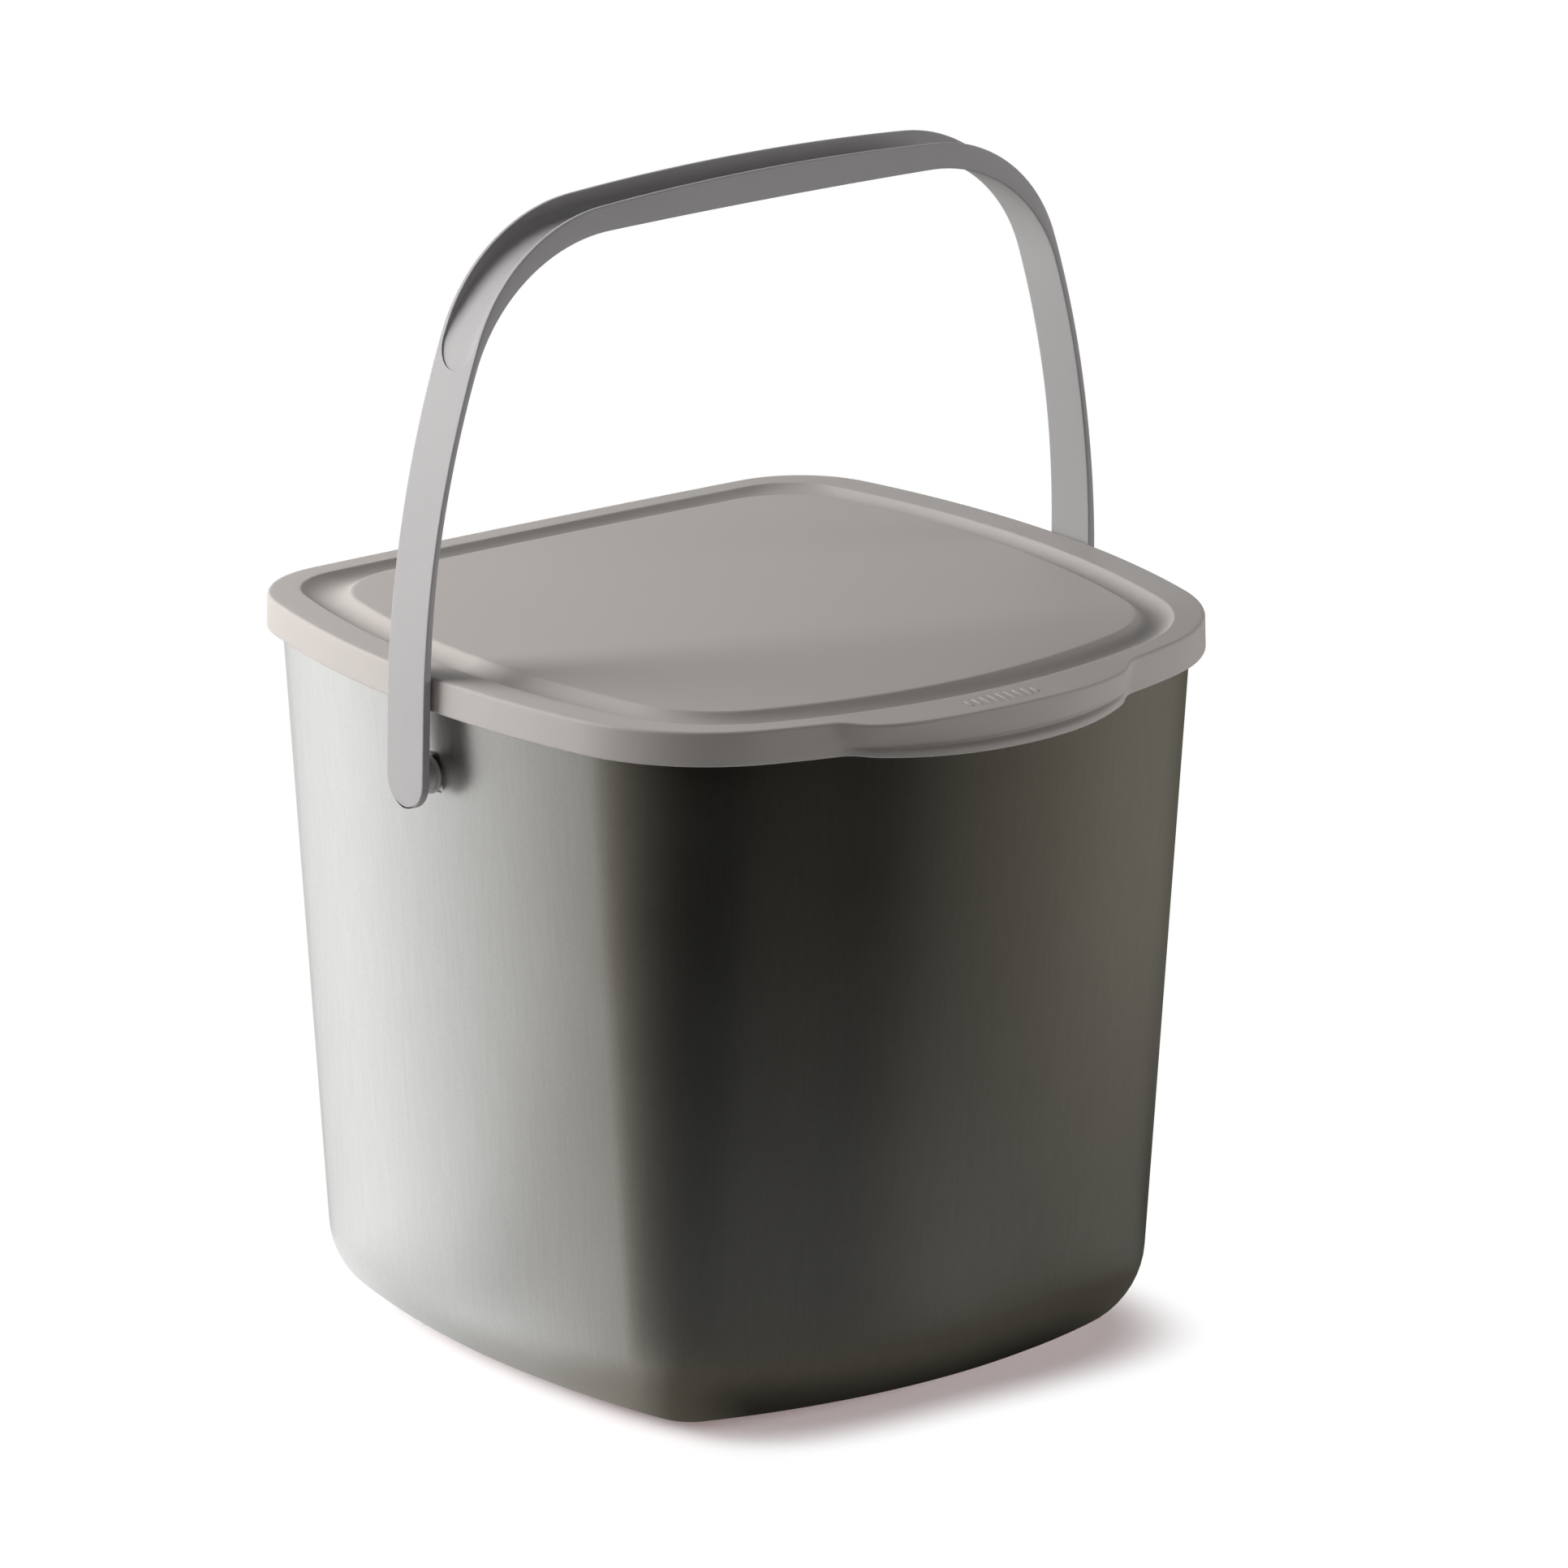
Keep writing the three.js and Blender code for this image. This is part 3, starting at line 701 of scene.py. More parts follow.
def tab_ribs():
    base = path_object("tab_ribs", [(0, 0, 0), (MM, 0, 0)], False)
    return grown(base, rib_tree(), {
        "Rib Count": RIB_COUNT, "Rib Pitch": RIB_PITCH * MM, "Rib Width": RIB_WIDTH * MM,
        "Rib Length": RIB_LENGTH * MM, "Rib Height": RIB_HEIGHT * MM,
        "Patch Place": (0, -RIB_PATCH_FORWARD * MM, RIB_PATCH_HEIGHT * MM), "Patch Tilt": RIB_PATCH_TILT,
        "Edge Bow": LID_OUTLINE["front_bow"] * MM, "Finish": lid_plastic})


# ---- The strap handle, laid along its arch by Geometry Nodes ----

def arch_lines():
    """The strap's inner and outer lines over the right half of the arch, paired point by point."""
    lines = []
    for half, arch in ((ARM_INSIDE, ARCH_INSIDE), (ARM_INSIDE + STRAP_THICKNESS, ARCH_OUTSIDE)):
        curve = quarter_points(half, arch["height"] - arch["straight"], arch["side_bow"], arch["crown"],
                               arch["corner"], (60, 60, 60))
        lines.append(np.concatenate([[(half, 0.0)], curve + (0, arch["straight"])]))
    return lines


def on_both_sides(values, sign=1):
    """Values of the right half, then the same for the left half back down to its foot."""
    return np.concatenate([values, (values[:-1] * sign)[::-1]])


def strap_stations():
    """Each station's place on the inner line, its way out, and how deep, wide and hollow the strap is there."""
    inner, outer = arch_lines()
    run = np.concatenate([[0], np.cumsum(np.linalg.norm(np.diff(inner, axis=0), axis=1))])
    channel_end = np.interp(CHANNEL_FOOT, inner[:, 1], run)
    round_end = STRAP_HALF_WIDTH - GRIP_FLANGE
    crescent = channel_end + 0.03 + round_end * (1 - np.cos(np.linspace(0.06, math.pi / 2, 22)))
    stops = np.concatenate([np.arange(0, channel_end - 2, 4.0),
                            [channel_end - 0.8, channel_end - 0.03, channel_end],
                            crescent, np.linspace(crescent[-1], run[-1], 44)[1:]])
    low, high = (np.stack([np.interp(stops, run, line[:, k]) for k in (0, 1)], 1) for line in (inner, outer))
    depth = np.linalg.norm(high - low, axis=1)
    way = (high - low) / depth[:, None]
    into = np.clip((stops - channel_end) / round_end, 0, 1)
    opening = np.sin(np.clip((stops - channel_end) / CHANNEL_RUN_OUT, 0, 1) * math.pi / 2)
    opened = np.where(stops < channel_end - 1e-6, 0, CHANNEL_FIRST_DEPTH + (1 - CHANNEL_FIRST_DEPTH) * opening)
    scoop = np.where(opened > 0, np.maximum(np.sqrt(1 - (1 - into) ** 2), 0.1), 1)
    lip = np.minimum(1, scoop / 0.35)
    opened[int(np.argmax(opened > 0))] = 0

    feet = 13
    foot_turns = np.linspace(math.pi / 2 - 0.02, 0, feet + 1)[:-1]
    foot_low = np.stack([np.full(feet, ARM_INSIDE), -STRAP_HALF_WIDTH * np.sin(foot_turns)], 1)
    low = on_both_sides(np.concatenate([foot_low, low]), (-1, 1))
    way = on_both_sides(np.concatenate([np.tile([1.0, 0.0], (feet, 1)), way]), (-1, 1))
    depth, scoop, lip, opened, turn = (on_both_sides(np.concatenate(halves)) for halves in (
        (np.full(feet, STRAP_THICKNESS), depth), (np.cos(foot_turns), scoop), (np.cos(foot_turns), lip),
        (np.zeros(feet), opened), (foot_turns, np.zeros(len(stops)))))
    flat = np.zeros(len(low))
    place = np.column_stack([low[:, 0], flat - PIVOT_FORWARD, low[:, 1] + PIVOT_HEIGHT]) * MM
    return {"place": place, "way_out": np.column_stack([way[:, 0], flat, way[:, 1]]), "depth": depth * MM,
            "scoop": scoop, "lip": lip, "opened": opened, "foot_cosine": np.cos(turn), "foot_sine": np.sin(turn)}


def strap_profile():
    """The strap's section as shares: across by half width, channel and outer edge, by the channel's lip alone,
    and outward by depth, hollow and edge."""
    turns = [k * math.pi / 10 for k in range(6)]
    half = [(1, 0, 7, 0, 0, 0, 0), (1, 0, 2.5, 0, 0, 0, 0)]
    half += [(1, 0, 1 - math.sin(a), 0, 0, 0, 1 - math.cos(a)) for a in turns]
    half += [(1, 0, 1 - math.cos(a), 0, 1, 0, math.sin(a) - 1) for a in turns]
    half += [(0, 1, 0, 0.8 * (1 - math.sin(a)), 1, 0.09 * (1 - math.cos(a)), 0) for a in turns]
    half += [(0, 1, 0, -0.04, 1, 0.25, 0), (0, 1, 0, -0.08, 1, 0.45, 0)]
    half += [(0, 0.45 + 0.55 * math.cos(a), 0, -0.1, 1, 0.45 + 0.55 * math.sin(a), 0) for a in turns[1:]]
    half += [(0, 0.2, 0, 0, 1, 1, 0)]
    whole = np.array([row + (1,) for row in half] + [row + (-1,) for row in half[::-1]], float)
    wide, channel, edge, lip, deep, hollow, rise, side = whole.T
    return (np.column_stack([side * wide, side * channel, -side * edge]), side * lip,
            np.column_stack([deep, hollow, rise]))


def strap_tree():
    tree, given, results = new_tree("channelled_strap", "GeometryNodeTree", [
        ("Stations", "Geometry"), ("Section", "Object"), ("Half Width", "Float", 0.0075),
        ("Flange Thickness", "Float", 0.0013), ("Floor Thickness", "Float", 0.0016),
        ("Edge Radius", "Float", 0.0004), ("Lean", "Float", 0.0), ("Pivot", "Vector", (0, 0, 0)),
        ("Finish", "Material")], [("Geometry", "Geometry")])

    def named(key, kind, x, y):
        made = node(tree, "GeometryNodeInputNamedAttribute", x, y, {"Name": key}, data_type=kind)
        return made.outputs["Attribute"]

    def product(x, y, one, other):
        return sums(tree, "MULTIPLY", x, y, one, other)

    path = node(tree, "GeometryNodeMeshToCurve", -300, 400, {0: given["Stations"]})
    section = node(tree, "GeometryNodeObjectInfo", -600, 200, {"Object": given["Section"]})
    loop = node(tree, "GeometryNodeMeshToCurve", -300, 200, {0: section.outputs["Geometry"]})
    sweep = node(tree, "GeometryNodeCurveToMesh", 0, 400,
                 {"Curve": path.outputs[0], "Profile Curve": loop.outputs[0], "Fill Caps": True})

    foot_cosine, foot_sine = named("foot_cosine", "FLOAT", -1500, -100), named("foot_sine", "FLOAT", -1500, -200)
    depth, edge = named("depth", "FLOAT", -1500, -500), given["Edge Radius"]
    channel_half = sums(tree, "SUBTRACT", -1200, -200, given["Half Width"], given["Flange Thickness"])
    edge_here = product(-1200, -350, edge, foot_cosine)
    hollow = product(-1000, -450, sums(tree, "SUBTRACT", -1200, -450, given["Floor Thickness"], depth),
                     named("opened", "FLOAT", -1500, -400))
    widths = along_axes(tree, -800, -200, X=product(-1200, -100, given["Half Width"], foot_cosine),
                        Y=product(-1000, -250, channel_half, named("scoop", "FLOAT", -1500, -300)), Z=edge_here)
    across_mix = named("across_mix", "FLOAT_VECTOR", -1000, -650)
    lip_here = product(-700, -50, product(-900, -50, named("lip_mix", "FLOAT", -1100, 50), edge_here),
                       named("lip", "FLOAT", -1100, 150))
    flat = vectors(tree, "DOT_PRODUCT", -550, -200, across_mix, widths)
    across = sums(tree, "ADD", -400, -100, flat, lip_here)
    out = vectors(tree, "DOT_PRODUCT", -550, -450, named("out_mix", "FLOAT_VECTOR", -1000, -800),
                  along_axes(tree, -800, -450, X=depth, Y=hollow, Z=edge))
    parts = node(tree, "ShaderNodeSeparateXYZ", -800, -650, {0: across_mix})
    lift = product(-350, -650, product(-550, -650, sums(tree, "ABSOLUTE", -650, -700, parts.outputs["Z"]), edge),
                   foot_sine)
    outwards = vectors(tree, "SCALE", -350, -450, named("way_out", "FLOAT_VECTOR", -550, -900), out)
    spot = vectors(tree, "ADD", 0, -200,
                   vectors(tree, "ADD", -150, -500, named("place", "FLOAT_VECTOR", -350, -900), outwards),
                   along_axes(tree, -150, -300, Y=across, Z=lift))
    lean = node(tree, "ShaderNodeVectorRotate", 250, -200,
                {"Vector": spot, "Center": given["Pivot"], "Angle": given["Lean"]}, rotation_type="X_AXIS")
    put = node(tree, "GeometryNodeSetPosition", 400, 300,
               {"Geometry": sweep.outputs[0], "Position": lean.outputs[0]})
    weld = node(tree, "GeometryNodeMergeByDistance", 600, 300,
                {0: put.outputs[0], "Distance": WELD_DISTANCE * MM})
    smooth = shaded_smooth(tree, 800, 300, weld.outputs[0])
    return finished(tree, 1000, 300, smooth, given["Finish"], results[0])


def handle_strap():
    stations = strap_stations()
    across, lip, out = strap_profile()
    ring = np.linspace(0, 2 * math.pi, len(across), endpoint=False)
    shape = np.column_stack([np.cos(ring), np.sin(ring), np.zeros(len(ring))]) * MM
    section = path_object("strap_section", shape, True, {"across_mix": across, "lip_mix": lip, "out_mix": out})
    strap = path_object("handle_strap", stations["place"], False, stations)
    grown(strap, strap_tree(), {
        "Section": section, "Half Width": STRAP_HALF_WIDTH * MM, "Flange Thickness": GRIP_FLANGE * MM,
        "Floor Thickness": GRIP_FLOOR * MM, "Edge Radius": STRAP_EDGE * MM, "Lean": HANDLE_LEAN,
        "Pivot": tuple(PIVOT), "Finish": handle_plastic})
    bpy.data.objects.remove(section)
    return strap


def pivot_stubs():
    """The round stubs inside the arms that turn in the spacers, each bored for its screw."""
    root = ARM_INSIDE + 0.5
    stub = rounded([(STUB_FACE, STUB_BORE), (root, STUB_BORE), (root, STUB_RADIUS), (STUB_FACE, STUB_RADIUS)],
                   [0.2, 0, 0, 0.3])
    right = turned_on_x(np.array(stub) * MM, 40)
    left = (right[0] * (-1, 1, 1), [face[::-1] for face in right[1]])
    stubs = joined("pivot_stubs", [(verts + PIVOT, faces) for verts, faces in (right, left)])
    stubs.data.materials.append(handle_plastic)
    return outward(stubs)


# ---- Spacers between arms and wall ----

def spacer(name, side):
    """A flanged boss outside the wall, with a sleeve through it that the stub turns in."""
    flange_foot = WALL_AT_PIVOT + WALL_LEAN * FLANGE_RADIUS + SEAT_GAP
    flange_face = flange_foot + FLANGE_THICKNESS
    face = ARM_INSIDE - PIVOT_PLAY
    profile = rounded(
        [(SLEEVE_END, SLEEVE_BORE), (face, SLEEVE_BORE), (face, BOSS_RADIUS), (flange_face, BOSS_RADIUS),
         (flange_face, FLANGE_RADIUS), (flange_foot, FLANGE_RADIUS), (flange_foot, SLEEVE_RADIUS),
         (SLEEVE_END, SLEEVE_RADIUS)],
        [0.1, 0.2, 0.35, 0.3, 0.3, 0.2, 0, 0.3], 5)
    verts, faces = turned_on_x(np.array(profile) * MM, 72)
    piece = outward(mesh_object(name, verts * (side, 1, 1) + PIVOT, faces))
    piece.data.materials.append(spacer_plastic)
    return piece


# ---- Washers and slotted screws inside the wall: one set, set out twice ----

def fastener_tree():
    tree, given, results = new_tree("pivot_fasteners", "GeometryNodeTree", [
        ("Ends", "Geometry"), ("Fastener", "Object"), ("Pivot", "Vector", (0, 0, 0)), ("Finish", "Material")],
        [("Geometry", "Geometry")])
    shape = node(tree, "GeometryNodeObjectInfo", -400, -100, {"Object": given["Fastener"]})
    turn = node(tree, "GeometryNodeInputNamedAttribute", -400, -300, {"Name": "half_turn"}, data_type="FLOAT")
    each = node(tree, "GeometryNodeInstanceOnPoints", 100, 0, {
        "Points": given["Ends"], "Instance": shape.outputs["Geometry"],
        "Rotation": along_axes(tree, -150, -300, Z=turn.outputs["Attribute"])})
    put = node(tree, "GeometryNodeTransform", 300, 0, {"Geometry": each.outputs[0], "Translation": given["Pivot"]})
    return finished(tree, 500, 0, put.outputs[0], given["Finish"], results[0])


def washer_template():
    inside, outside = WASHER_FACE - WASHER_THICKNESS, WASHER_FACE
    profile = rounded([(inside, STUB_BORE), (outside, STUB_BORE), (outside, WASHER_RADIUS), (inside, WASHER_RADIUS)],
                      [0.1, 0.1, 0.15, 0.25])
    return outward(joined("washer_template", [turned_on_x(np.array(profile) * MM, 56)]))


def screw_template():
    dome = [(HEAD_FACE - HEAD_HEIGHT + HEAD_DOME * (1 - math.cos(a)), HEAD_RADIUS * math.sin(a))
            for a in np.linspace(0.02, math.pi / 2, 9)]
    shank = [(HEAD_FACE, HEAD_RADIUS), (HEAD_FACE, SCREW_RADIUS), (STUB_FACE + SCREW_REACH - 0.8, SCREW_RADIUS),
             (STUB_FACE + SCREW_REACH, 0.05)]
    screw = outward(joined("fastener_template", [spun_on_x(np.array(dome + shank) * MM, 56)]))
    slot_middle = HEAD_FACE - HEAD_HEIGHT - 0.1
    corners = [((slot_middle + x * SLOT_DEPTH) * MM, y * 5 * MM, z * SLOT_HALF_WIDTH * MM)
               for x in (-1, 1) for y in (-1, 1) for z in (-1, 1)]
    slot = mesh_object("slot_cutter", corners,
                       [(0, 1, 3, 2), (4, 6, 7, 5), (0, 4, 5, 1), (2, 3, 7, 6), (0, 2, 6, 4), (1, 5, 7, 3)], False)
    cut_away(screw, outward(slot), "slot")
    return screw


def pivot_fasteners():
    """Screws and washers, each pair grown from a piece drawn for the right side."""
    made = []
    for name, template in (("pivot_screws", screw_template), ("pivot_washers", washer_template)):
        shape = template()
        ends = path_object(name, [(0, 0, 0), (0, 0, 0)], False, {"half_turn": [0.0, math.pi]})
        made.append(grown(ends, fastener_tree(),
                          {"Fastener": shape, "Pivot": tuple(PIVOT), "Finish": fastener_steel}))
        bpy.data.objects.remove(shape)
    return made


# ---- Put together ----

wall = bin_wall()
bead = mouth_bead()
lid = lid_moulding()
ribs = tab_ribs()
strap = handle_strap()
stubs = pivot_stubs()
left_spacer, right_spacer = spacer("left_spacer", -1), spacer("right_spacer", 1)
screws, washers = pivot_fasteners()

for piece, body, replaced, slot in (
        (wall, "bin", ("bin_shell",), "brushed_steel"),
        (bead, "bin", ("bin_shell",), "brushed_steel"),
        (lid, "lid", ("lid",), "lid_plastic"),
        (ribs, "lid", (), "lid_plastic"),
        (strap, "handle", ("handle",), "handle_plastic"),
        (stubs, "handle", ("handle",), "handle_plastic"),
        (left_spacer, "bin", ("left_pivot_bushing",), "bushing_plastic"),
        (right_spacer, "bin", ("right_pivot_bushing",), "bushing_plastic"),
        (screws, "handle", ("left_pivot_screw", "right_pivot_screw"), "fastener_steel"),
        (washers, "handle", ("left_pivot_washer", "right_pivot_washer"), "fastener_steel")):
    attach(piece, body)
    if replaced:
        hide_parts(*replaced)


# ---- Camera, from the photograph's fitted view ----

def placed(made, location, aim):
    """Links an object that stands at a place and looks at another."""
    made.location = location
    made.rotation_mode = "QUATERNION"
    made.rotation_quaternion = (aim - made.location).to_track_quat("-Z", "Y")
    bpy.context.scene.collection.objects.link(made)


def camera_view():
    """The photograph's camera, turned so that the lid's middle lies where the photograph has it."""
    azimuth, elevation = math.radians(-37.094), math.radians(16.011)
    distance, pixels_per_mm, picture, sensor = 3.5, 5.021, 1932, 36
    back = Vector((math.sin(azimuth) * math.cos(elevation), -math.cos(azimuth) * math.cos(elevation),
                   math.sin(elevation)))
    right = Vector((math.cos(azimuth), math.sin(azimuth), 0))
    target, seen_at = Vector((0, 0, LID_TOP * MM)), (907.5, 738.0)
    aim = target + right * ((picture / 2 - seen_at[0]) / pixels_per_mm * MM)
    aim -= back.cross(right) * ((picture / 2 - seen_at[1]) / pixels_per_mm * MM)
    camera = bpy.data.objects.new("camera", bpy.data.cameras.new("camera"))
    camera.data.sensor_width = sensor
    camera.data.lens = sensor * pixels_per_mm * distance / MM / picture
    camera.data.clip_start, camera.data.clip_end = 0.1, 60
    placed(camera, target + back * distance, aim)
    bpy.context.scene.camera = camera


camera_view()


# ---- Floor, backdrop, light and painted reflections ----

WHEEL_START = 80
# The fixed ring that cuts the floor's shadow, in metres: painted shadow edge
SHADOW_MIDDLE, SHADOW_EDGE = (0.007, -0.0085), (0.068, 0.091)
# Rings on the floor, in metres from a middle, where the painted reflections for the steel's foot change
MIRROR_MIDDLE, CLOSE_EDGE, UNDER_EDGE = (-0.008, -0.006), (0.063, 0.092), (0.1, 0.135)
GLOW_EDGE, CLEAR_EDGE = (0.12, 0.45), (0.13, 0.42)

# Painted reflections: levels by azimuth in degrees that the steel mirrors, which make it darker or lighter by
# direction: the floor far out, near and nearest, and the screen
DIMMING = ((80, 0.9), (120, 0.92), (138, 0.98), (152, 1), (163, 0.75), (180, 1), (262, 1), (285, 0.95), (305, 0.6),
           (330, 0.5), (350, 0.28), (385, 0.7), (410, 0.9))
CLOSE_LEVELS = ((80, 1.15), (125, 1.12), (148, 0.82), (170, 0.74), (190, 0.53), (203, 0.34), (222, 0.085),
                (240, 0.07), (310, 0.06), (345, 0.09), (385, 0.1), (410, 0.4), (435, 1.15))
CLOSEST_LEVELS = ((80, 1), (125, 1), (148, 0.72), (170, 0.5), (190, 0.41), (203, 0.33), (212, 0.27), (222, 0.1),
                  (236, 0.02), (310, 0.008), (345, 0.01), (385, 0.03), (410, 0.3), (435, 0.95))
SCREEN_LEVELS = ((96, 1.2), (108, 1.2), (120, 0.91), (130, 0.69), (140, 0.535), (149, 0.415), (155, 0.26),
                 (166, 0.14), (180, 0.07), (200, 0.026), (218, 0.008), (250, 0.006), (266, 0.01), (276, 0.022),
                 (280, 0.025), (284, 0.003), (293, 0.001), (297, 0.03), (301, 0.055), (308, 0.07), (318, 0.095),
                 (328, 0.125), (336, 0.165), (345, 0.18), (360, 0.17), (390, 0.1), (424, 0.08))


def seen_directly(tree, *rays):
    """A mask of the rays of the named kinds that have met nothing matt on their way."""
    path = node(tree, "ShaderNodeLightPath", -900, 500).outputs
    mask = path[rays[0]]
    for place, ray in enumerate(rays[1:]):
        mask = sums(tree, "MAXIMUM", -700 + 150 * place, 500, mask, path[ray])
    return sums(tree, "SUBTRACT", -300, 500, mask, path["Diffuse Depth"], use_clamp=True)


def round_wheel(tree, stops, x=0, y=0):
    """Colours set out round the Z axis: each stop is an azimuth in degrees, from WHEEL_START on, and a colour."""
    place = node(tree, "ShaderNodeTexCoord", x - 900, y).outputs["Object"]
    turn = node(tree, "ShaderNodeMapping", x - 700, y,
                {"Vector": place, "Rotation": (0, 0, math.radians(-WHEEL_START - 180))})
    wheel = node(tree, "ShaderNodeTexGradient", x - 500, y, {"Vector": turn.outputs[0]}, gradient_type="RADIAL")
    ramp = node(tree, "ShaderNodeValToRGB", x - 250, y, {0: wheel.outputs["Fac"]})
    while len(ramp.color_ramp.elements) < len(stops):
        ramp.color_ramp.elements.new(0.5)
    for element, (azimuth, colour) in zip(ramp.color_ramp.elements, stops):
        element.position = (azimuth - WHEEL_START) / 360
        element.color = (*colour, 1)
    return ramp.outputs["Color"]


def painted_reflection_tint(level):
    """A grey for the painted reflections that the steel mirrors, neutral where it is bright and olive where it is
    dark.
    """
    warmth = 1 - min(level, 0.6) / 0.6
    return (level, level * (1 - 0.08 * warmth), level * (1 - 0.3 * warmth))


# Painted reflection colours set out round the Z axis for the steel to mirror
def painted_reflection_wheel(tree, levels, x=0, y=0):
    return round_wheel(tree, [(azimuth, painted_reflection_tint(level)) for azimuth, level in levels], x, y)


def square_distance(tree, x, y, middle):
    """How far out a place on the floor lies, in metres, measured along rounded squares about a middle."""
    place = node(tree, "ShaderNodeTexCoord", x, y).outputs["Object"]
    shifted = node(tree, "ShaderNodeMapping", x + 150, y,
                   {"Vector": place, "Location": (-middle[0], -middle[1], 0)}).outputs[0]
    squares = vectors(tree, "MULTIPLY", x + 300, y, shifted, shifted)
    fours = vectors(tree, "DOT_PRODUCT", x + 450, y, squares, squares)
    return sums(tree, "POWER", x + 600, y, fours, 0.25)


def eased(tree, x, y, value, edge, to_low=0.0, to_high=1.0):
    """A smooth step over an edge."""
    return spread(tree, x, y, value, *edge, to_low, to_high, interpolation_type="SMOOTHSTEP")


def mixed(tree, x, y, share, low, high):
    return node(tree, "ShaderNodeMixShader", x, y, {0: share, 1: low, 2: high}).outputs[0]


def added(tree, x, y, one, other):
    return node(tree, "ShaderNodeAddShader", x, y, {0: one, 1: other}).outputs[0]


def emitted(tree, x, y, **values):
    return node(tree, "ShaderNodeEmission", x, y, values).outputs[0]


def bare_material(name):
    """A material with nothing in it but its output: the material, its tree and the surface socket."""
    material = bpy.data.materials.new(name)
    material.use_nodes = True
    tree = material.node_tree
    tree.nodes.clear()
    return material, tree, node(tree, "ShaderNodeOutputMaterial", 1000).inputs[0]


def seen_floor(tree, plain):
    """The floor for the camera: pale with the object's rendered shadow near it, tinted pink by a painted glow and
    faded to plain white further out by a fixed ring.
    """
    # A pink glow over the floor near the bin: painted shadow colour, seen where the rendered shadow falls
    lift = emitted(tree, -200, -150, Color=(1.0, 0.74, 0.74, 1), Strength=0.22)
    # A fixed ring, not the lamps, sets where the shadow fades out: painted shadow edge
    fade = eased(tree, -150, -400, square_distance(tree, -1100, -400, SHADOW_MIDDLE), SHADOW_EDGE)
    return mixed(tree, 250, -150, fade, added(tree, 0, -100, plain, lift), emitted(tree, 0, -300, Strength=1.0))


def floor_painted_reflections(tree):
    """The floor for mirror rays, which paints the steel's reflections: glowing tones under and beside the bin that
    paint shade and light on the steel's foot, a faint glow, and a dimming veil over the screen further out.
    """
    place = node(tree, "ShaderNodeTexCoord", -900, -700).outputs["Object"]
    distance = vectors(tree, "LENGTH", -600, -700, place)
    dimming = round_wheel(tree, [(azimuth, (level,) * 3) for azimuth, level in DIMMING], -200, -900)
    veil = mixed_colour(tree, -150, -1100, eased(tree, -400, -1200, distance, CLEAR_EDGE), dimming, (1, 1, 1, 1))
    clear = node(tree, "ShaderNodeBsdfTransparent", 0, -600, {"Color": veil}).outputs[0]
    # A faint glow that only mirrors see: painted reflection that lightens the steel low down
    glow = emitted(tree, 0, -700, Color=dimming, Strength=eased(tree, -400, -700, distance, GLOW_EDGE, 0.05, 0.0))
    far = square_distance(tree, -1100, -2100, MIRROR_MIDDLE)
    # Glowing tones by azimuth near the foot: painted reflection, dark where the steel's foot should look shaded
    painted_reflection_tone = mixed_colour(tree, -150, -1500, eased(tree, -350, -1900, far, CLOSE_EDGE),
                             painted_reflection_wheel(tree, CLOSEST_LEVELS, -200, -1700),
                             painted_reflection_wheel(tree, CLOSE_LEVELS, -200, -1400))
    return mixed(tree, 350, -600, eased(tree, -150, -800, far, UNDER_EDGE),
                 emitted(tree, 50, -1400, Color=painted_reflection_tone), added(tree, 150, -600, clear, glow))


def floor():
    reach, sunk = 9, -0.0002
    ground = mesh_object("floor", [(-reach, -reach, sunk), (reach, -reach, sunk), (reach, reach, sunk),
                                   (-reach, reach, sunk)], [(0, 1, 2, 3)])
    material, tree, surface = bare_material("pale_floor")
    plain = node(tree, "ShaderNodeBsdfDiffuse", -200, 0, {"Color": (0.9, 0.89, 0.895, 1)}).outputs[0]
    seen = mixed(tree, 500, 0, seen_directly(tree, "Is Camera Ray", "Is Transmission Ray"), plain,
                 seen_floor(tree, plain))
    feed(tree, surface, mixed(tree, 750, 0, seen_directly(tree, "Is Glossy Ray"), seen, floor_painted_reflections(tree)))
    ground.data.materials.append(material)


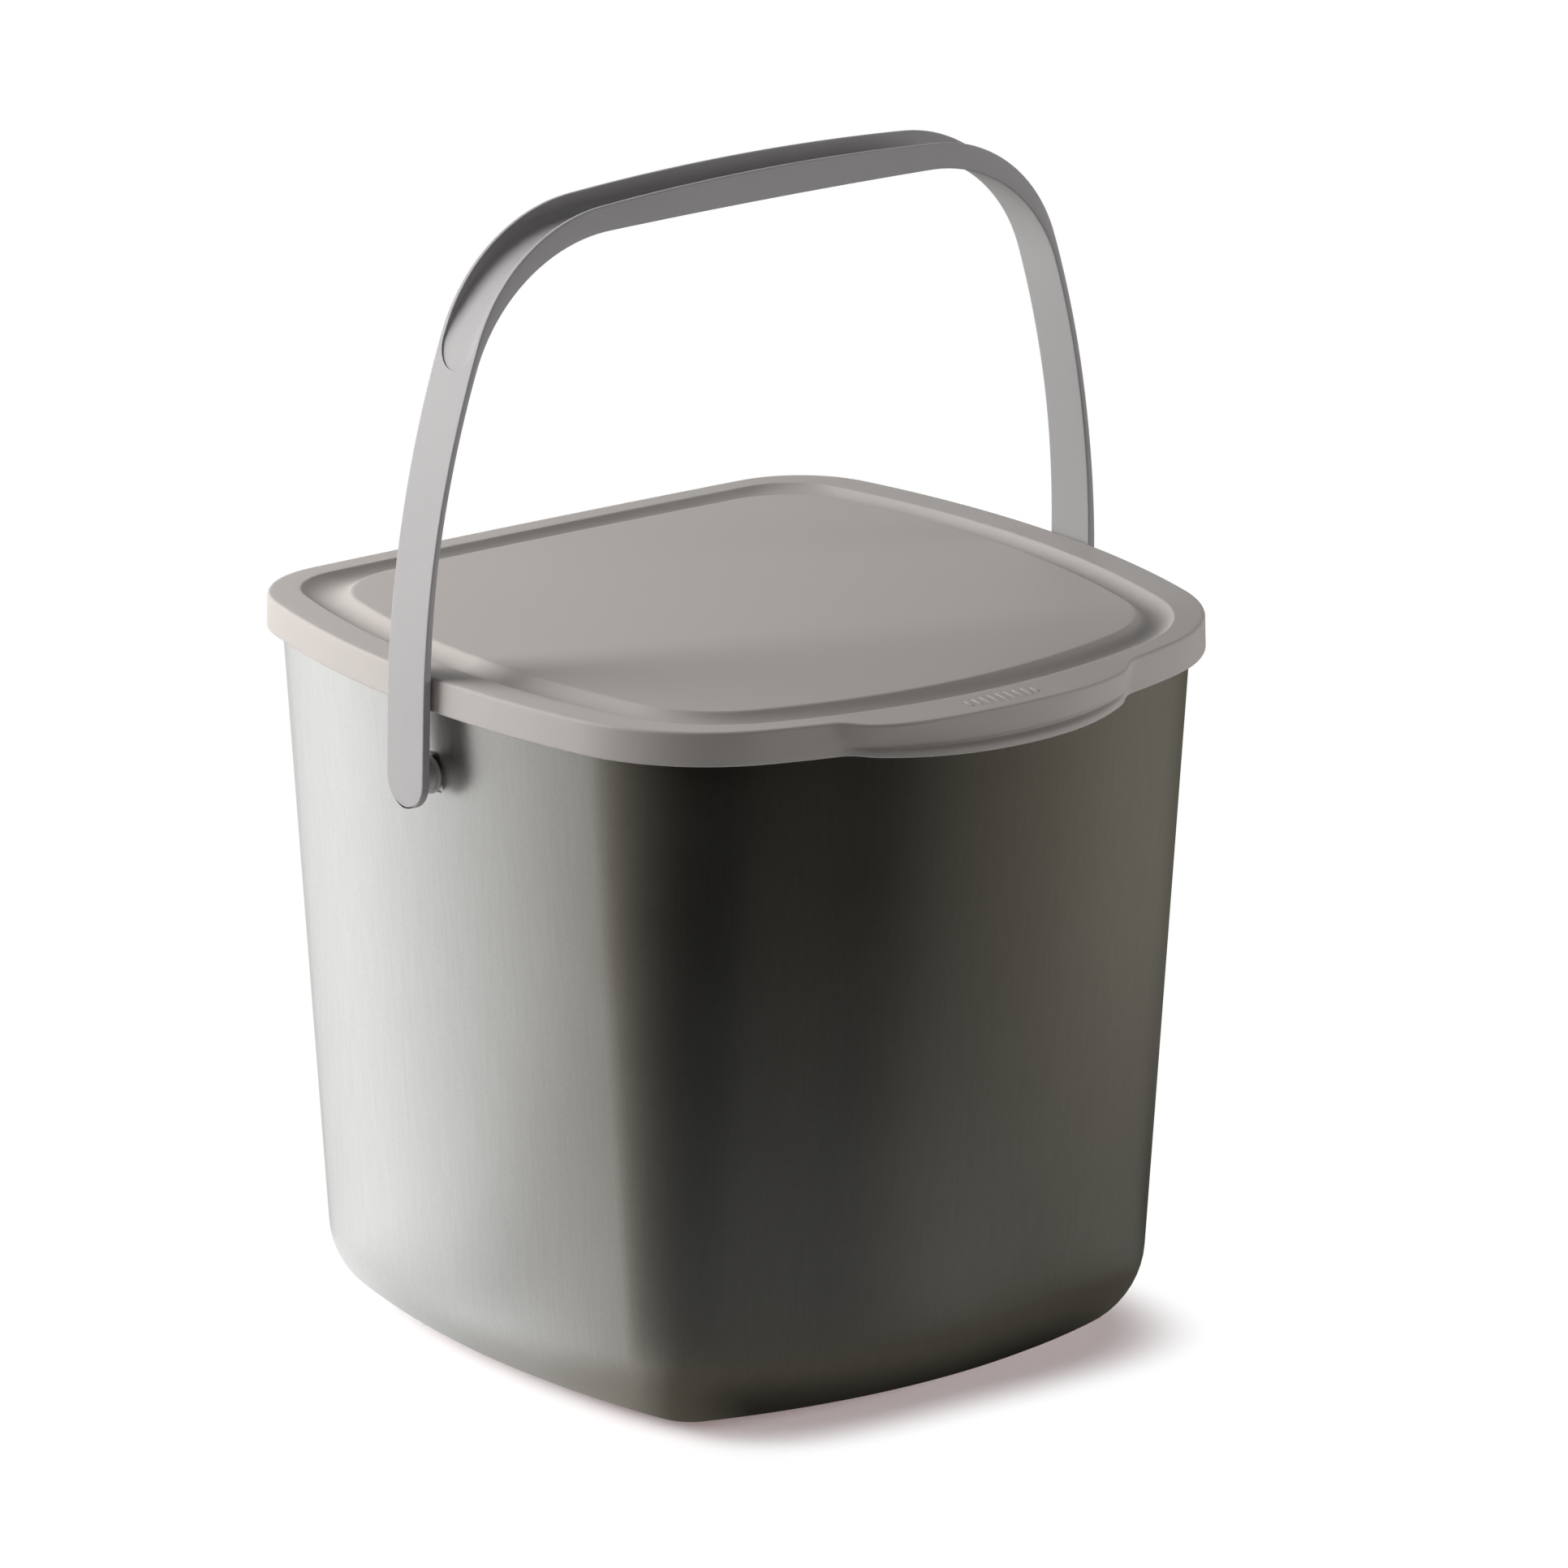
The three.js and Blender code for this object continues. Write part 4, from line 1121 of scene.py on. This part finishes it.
def surroundings():
    """Soft light all round, which the camera and mirrors see as plain white."""
    world = bpy.data.worlds.new("studio")
    bpy.context.scene.world = world
    world.use_nodes = True
    tree = world.node_tree
    tree.nodes.clear()
    soft = node(tree, "ShaderNodeBackground", -100, 0, {"Color": (0.97, 0.98, 1.0, 1), "Strength": 0.09})
    white = node(tree, "ShaderNodeBackground", -100, -200, {"Strength": 1.0})
    directly = seen_directly(tree, "Is Camera Ray", "Is Glossy Ray", "Is Transmission Ray")
    end = node(tree, "ShaderNodeOutputWorld", 400)
    feed(tree, end.inputs[0], mixed(tree, 150, 0, directly, soft.outputs[0], white.outputs[0]))


def lamp(name, azimuth, elevation, distance, size, power):
    """A round lamp that shines at the object's middle, unseen by the camera and in mirrors."""
    light = bpy.data.lights.new(name, "AREA")
    light.shape, light.size, light.energy = "DISK", size, power
    lit = bpy.data.objects.new(name, light)
    a, e = math.radians(azimuth), math.radians(elevation)
    placed(lit, Vector((math.cos(a) * math.cos(e), math.sin(a) * math.cos(e), math.sin(e))) * distance,
           Vector((0, 0, 0.12)))
    lit.visible_camera = lit.visible_glossy = False


def dark_screen():
    """A screen far round the front, which only mirror rays meet: it glows from dark to bright by azimuth, so the steel
    shows painted reflections.
    """
    angles = np.linspace(math.radians(96), math.radians(424), 140)
    profile = [(0.01, -5.0), (1.5, -4.7), (3.0, -4.0), (4.2, -2.8), (4.8, -1.4), (5.0, 0.0), (5.0, 0.6), (4.8, 1.2)]
    raised = np.interp(np.degrees(angles), (170, 205, 325, 350, 390, 400), (1, 3, 3, 1, 1, 0))
    verts = [(r * math.cos(a), r * math.sin(a), z * (lift if z > 0 else 1))
             for a, lift in zip(angles, raised) for r, z in profile]
    rows = len(profile)
    faces = [(i * rows + k, (i + 1) * rows + k, (i + 1) * rows + k + 1, i * rows + k + 1)
             for i in range(len(angles) - 1) for k in range(rows - 1)]
    screen = mesh_object("dark_screen", verts, faces)
    material, tree, surface = bare_material("dark_screen_cloth")
    # The screen's glow by azimuth: painted reflection for the steel, dark in front and bright at the back left
    feed(tree, surface, emitted(tree, 200, 0, Color=painted_reflection_wheel(tree, SCREEN_LEVELS),
                                Strength=seen_directly(tree, "Is Glossy Ray")))
    screen.data.materials.append(material)
    screen.visible_camera = screen.visible_diffuse = screen.visible_shadow = False
    screen.visible_transmission = screen.visible_volume_scatter = False


floor()
surroundings()
dark_screen()
lamp("key_lamp", 138, 36, 0.95, 0.7, 13.6)
lamp("right_lamp", 325, 6, 2.2, 1.2, 42)

bpy.context.scene.view_settings.view_transform = "Standard"
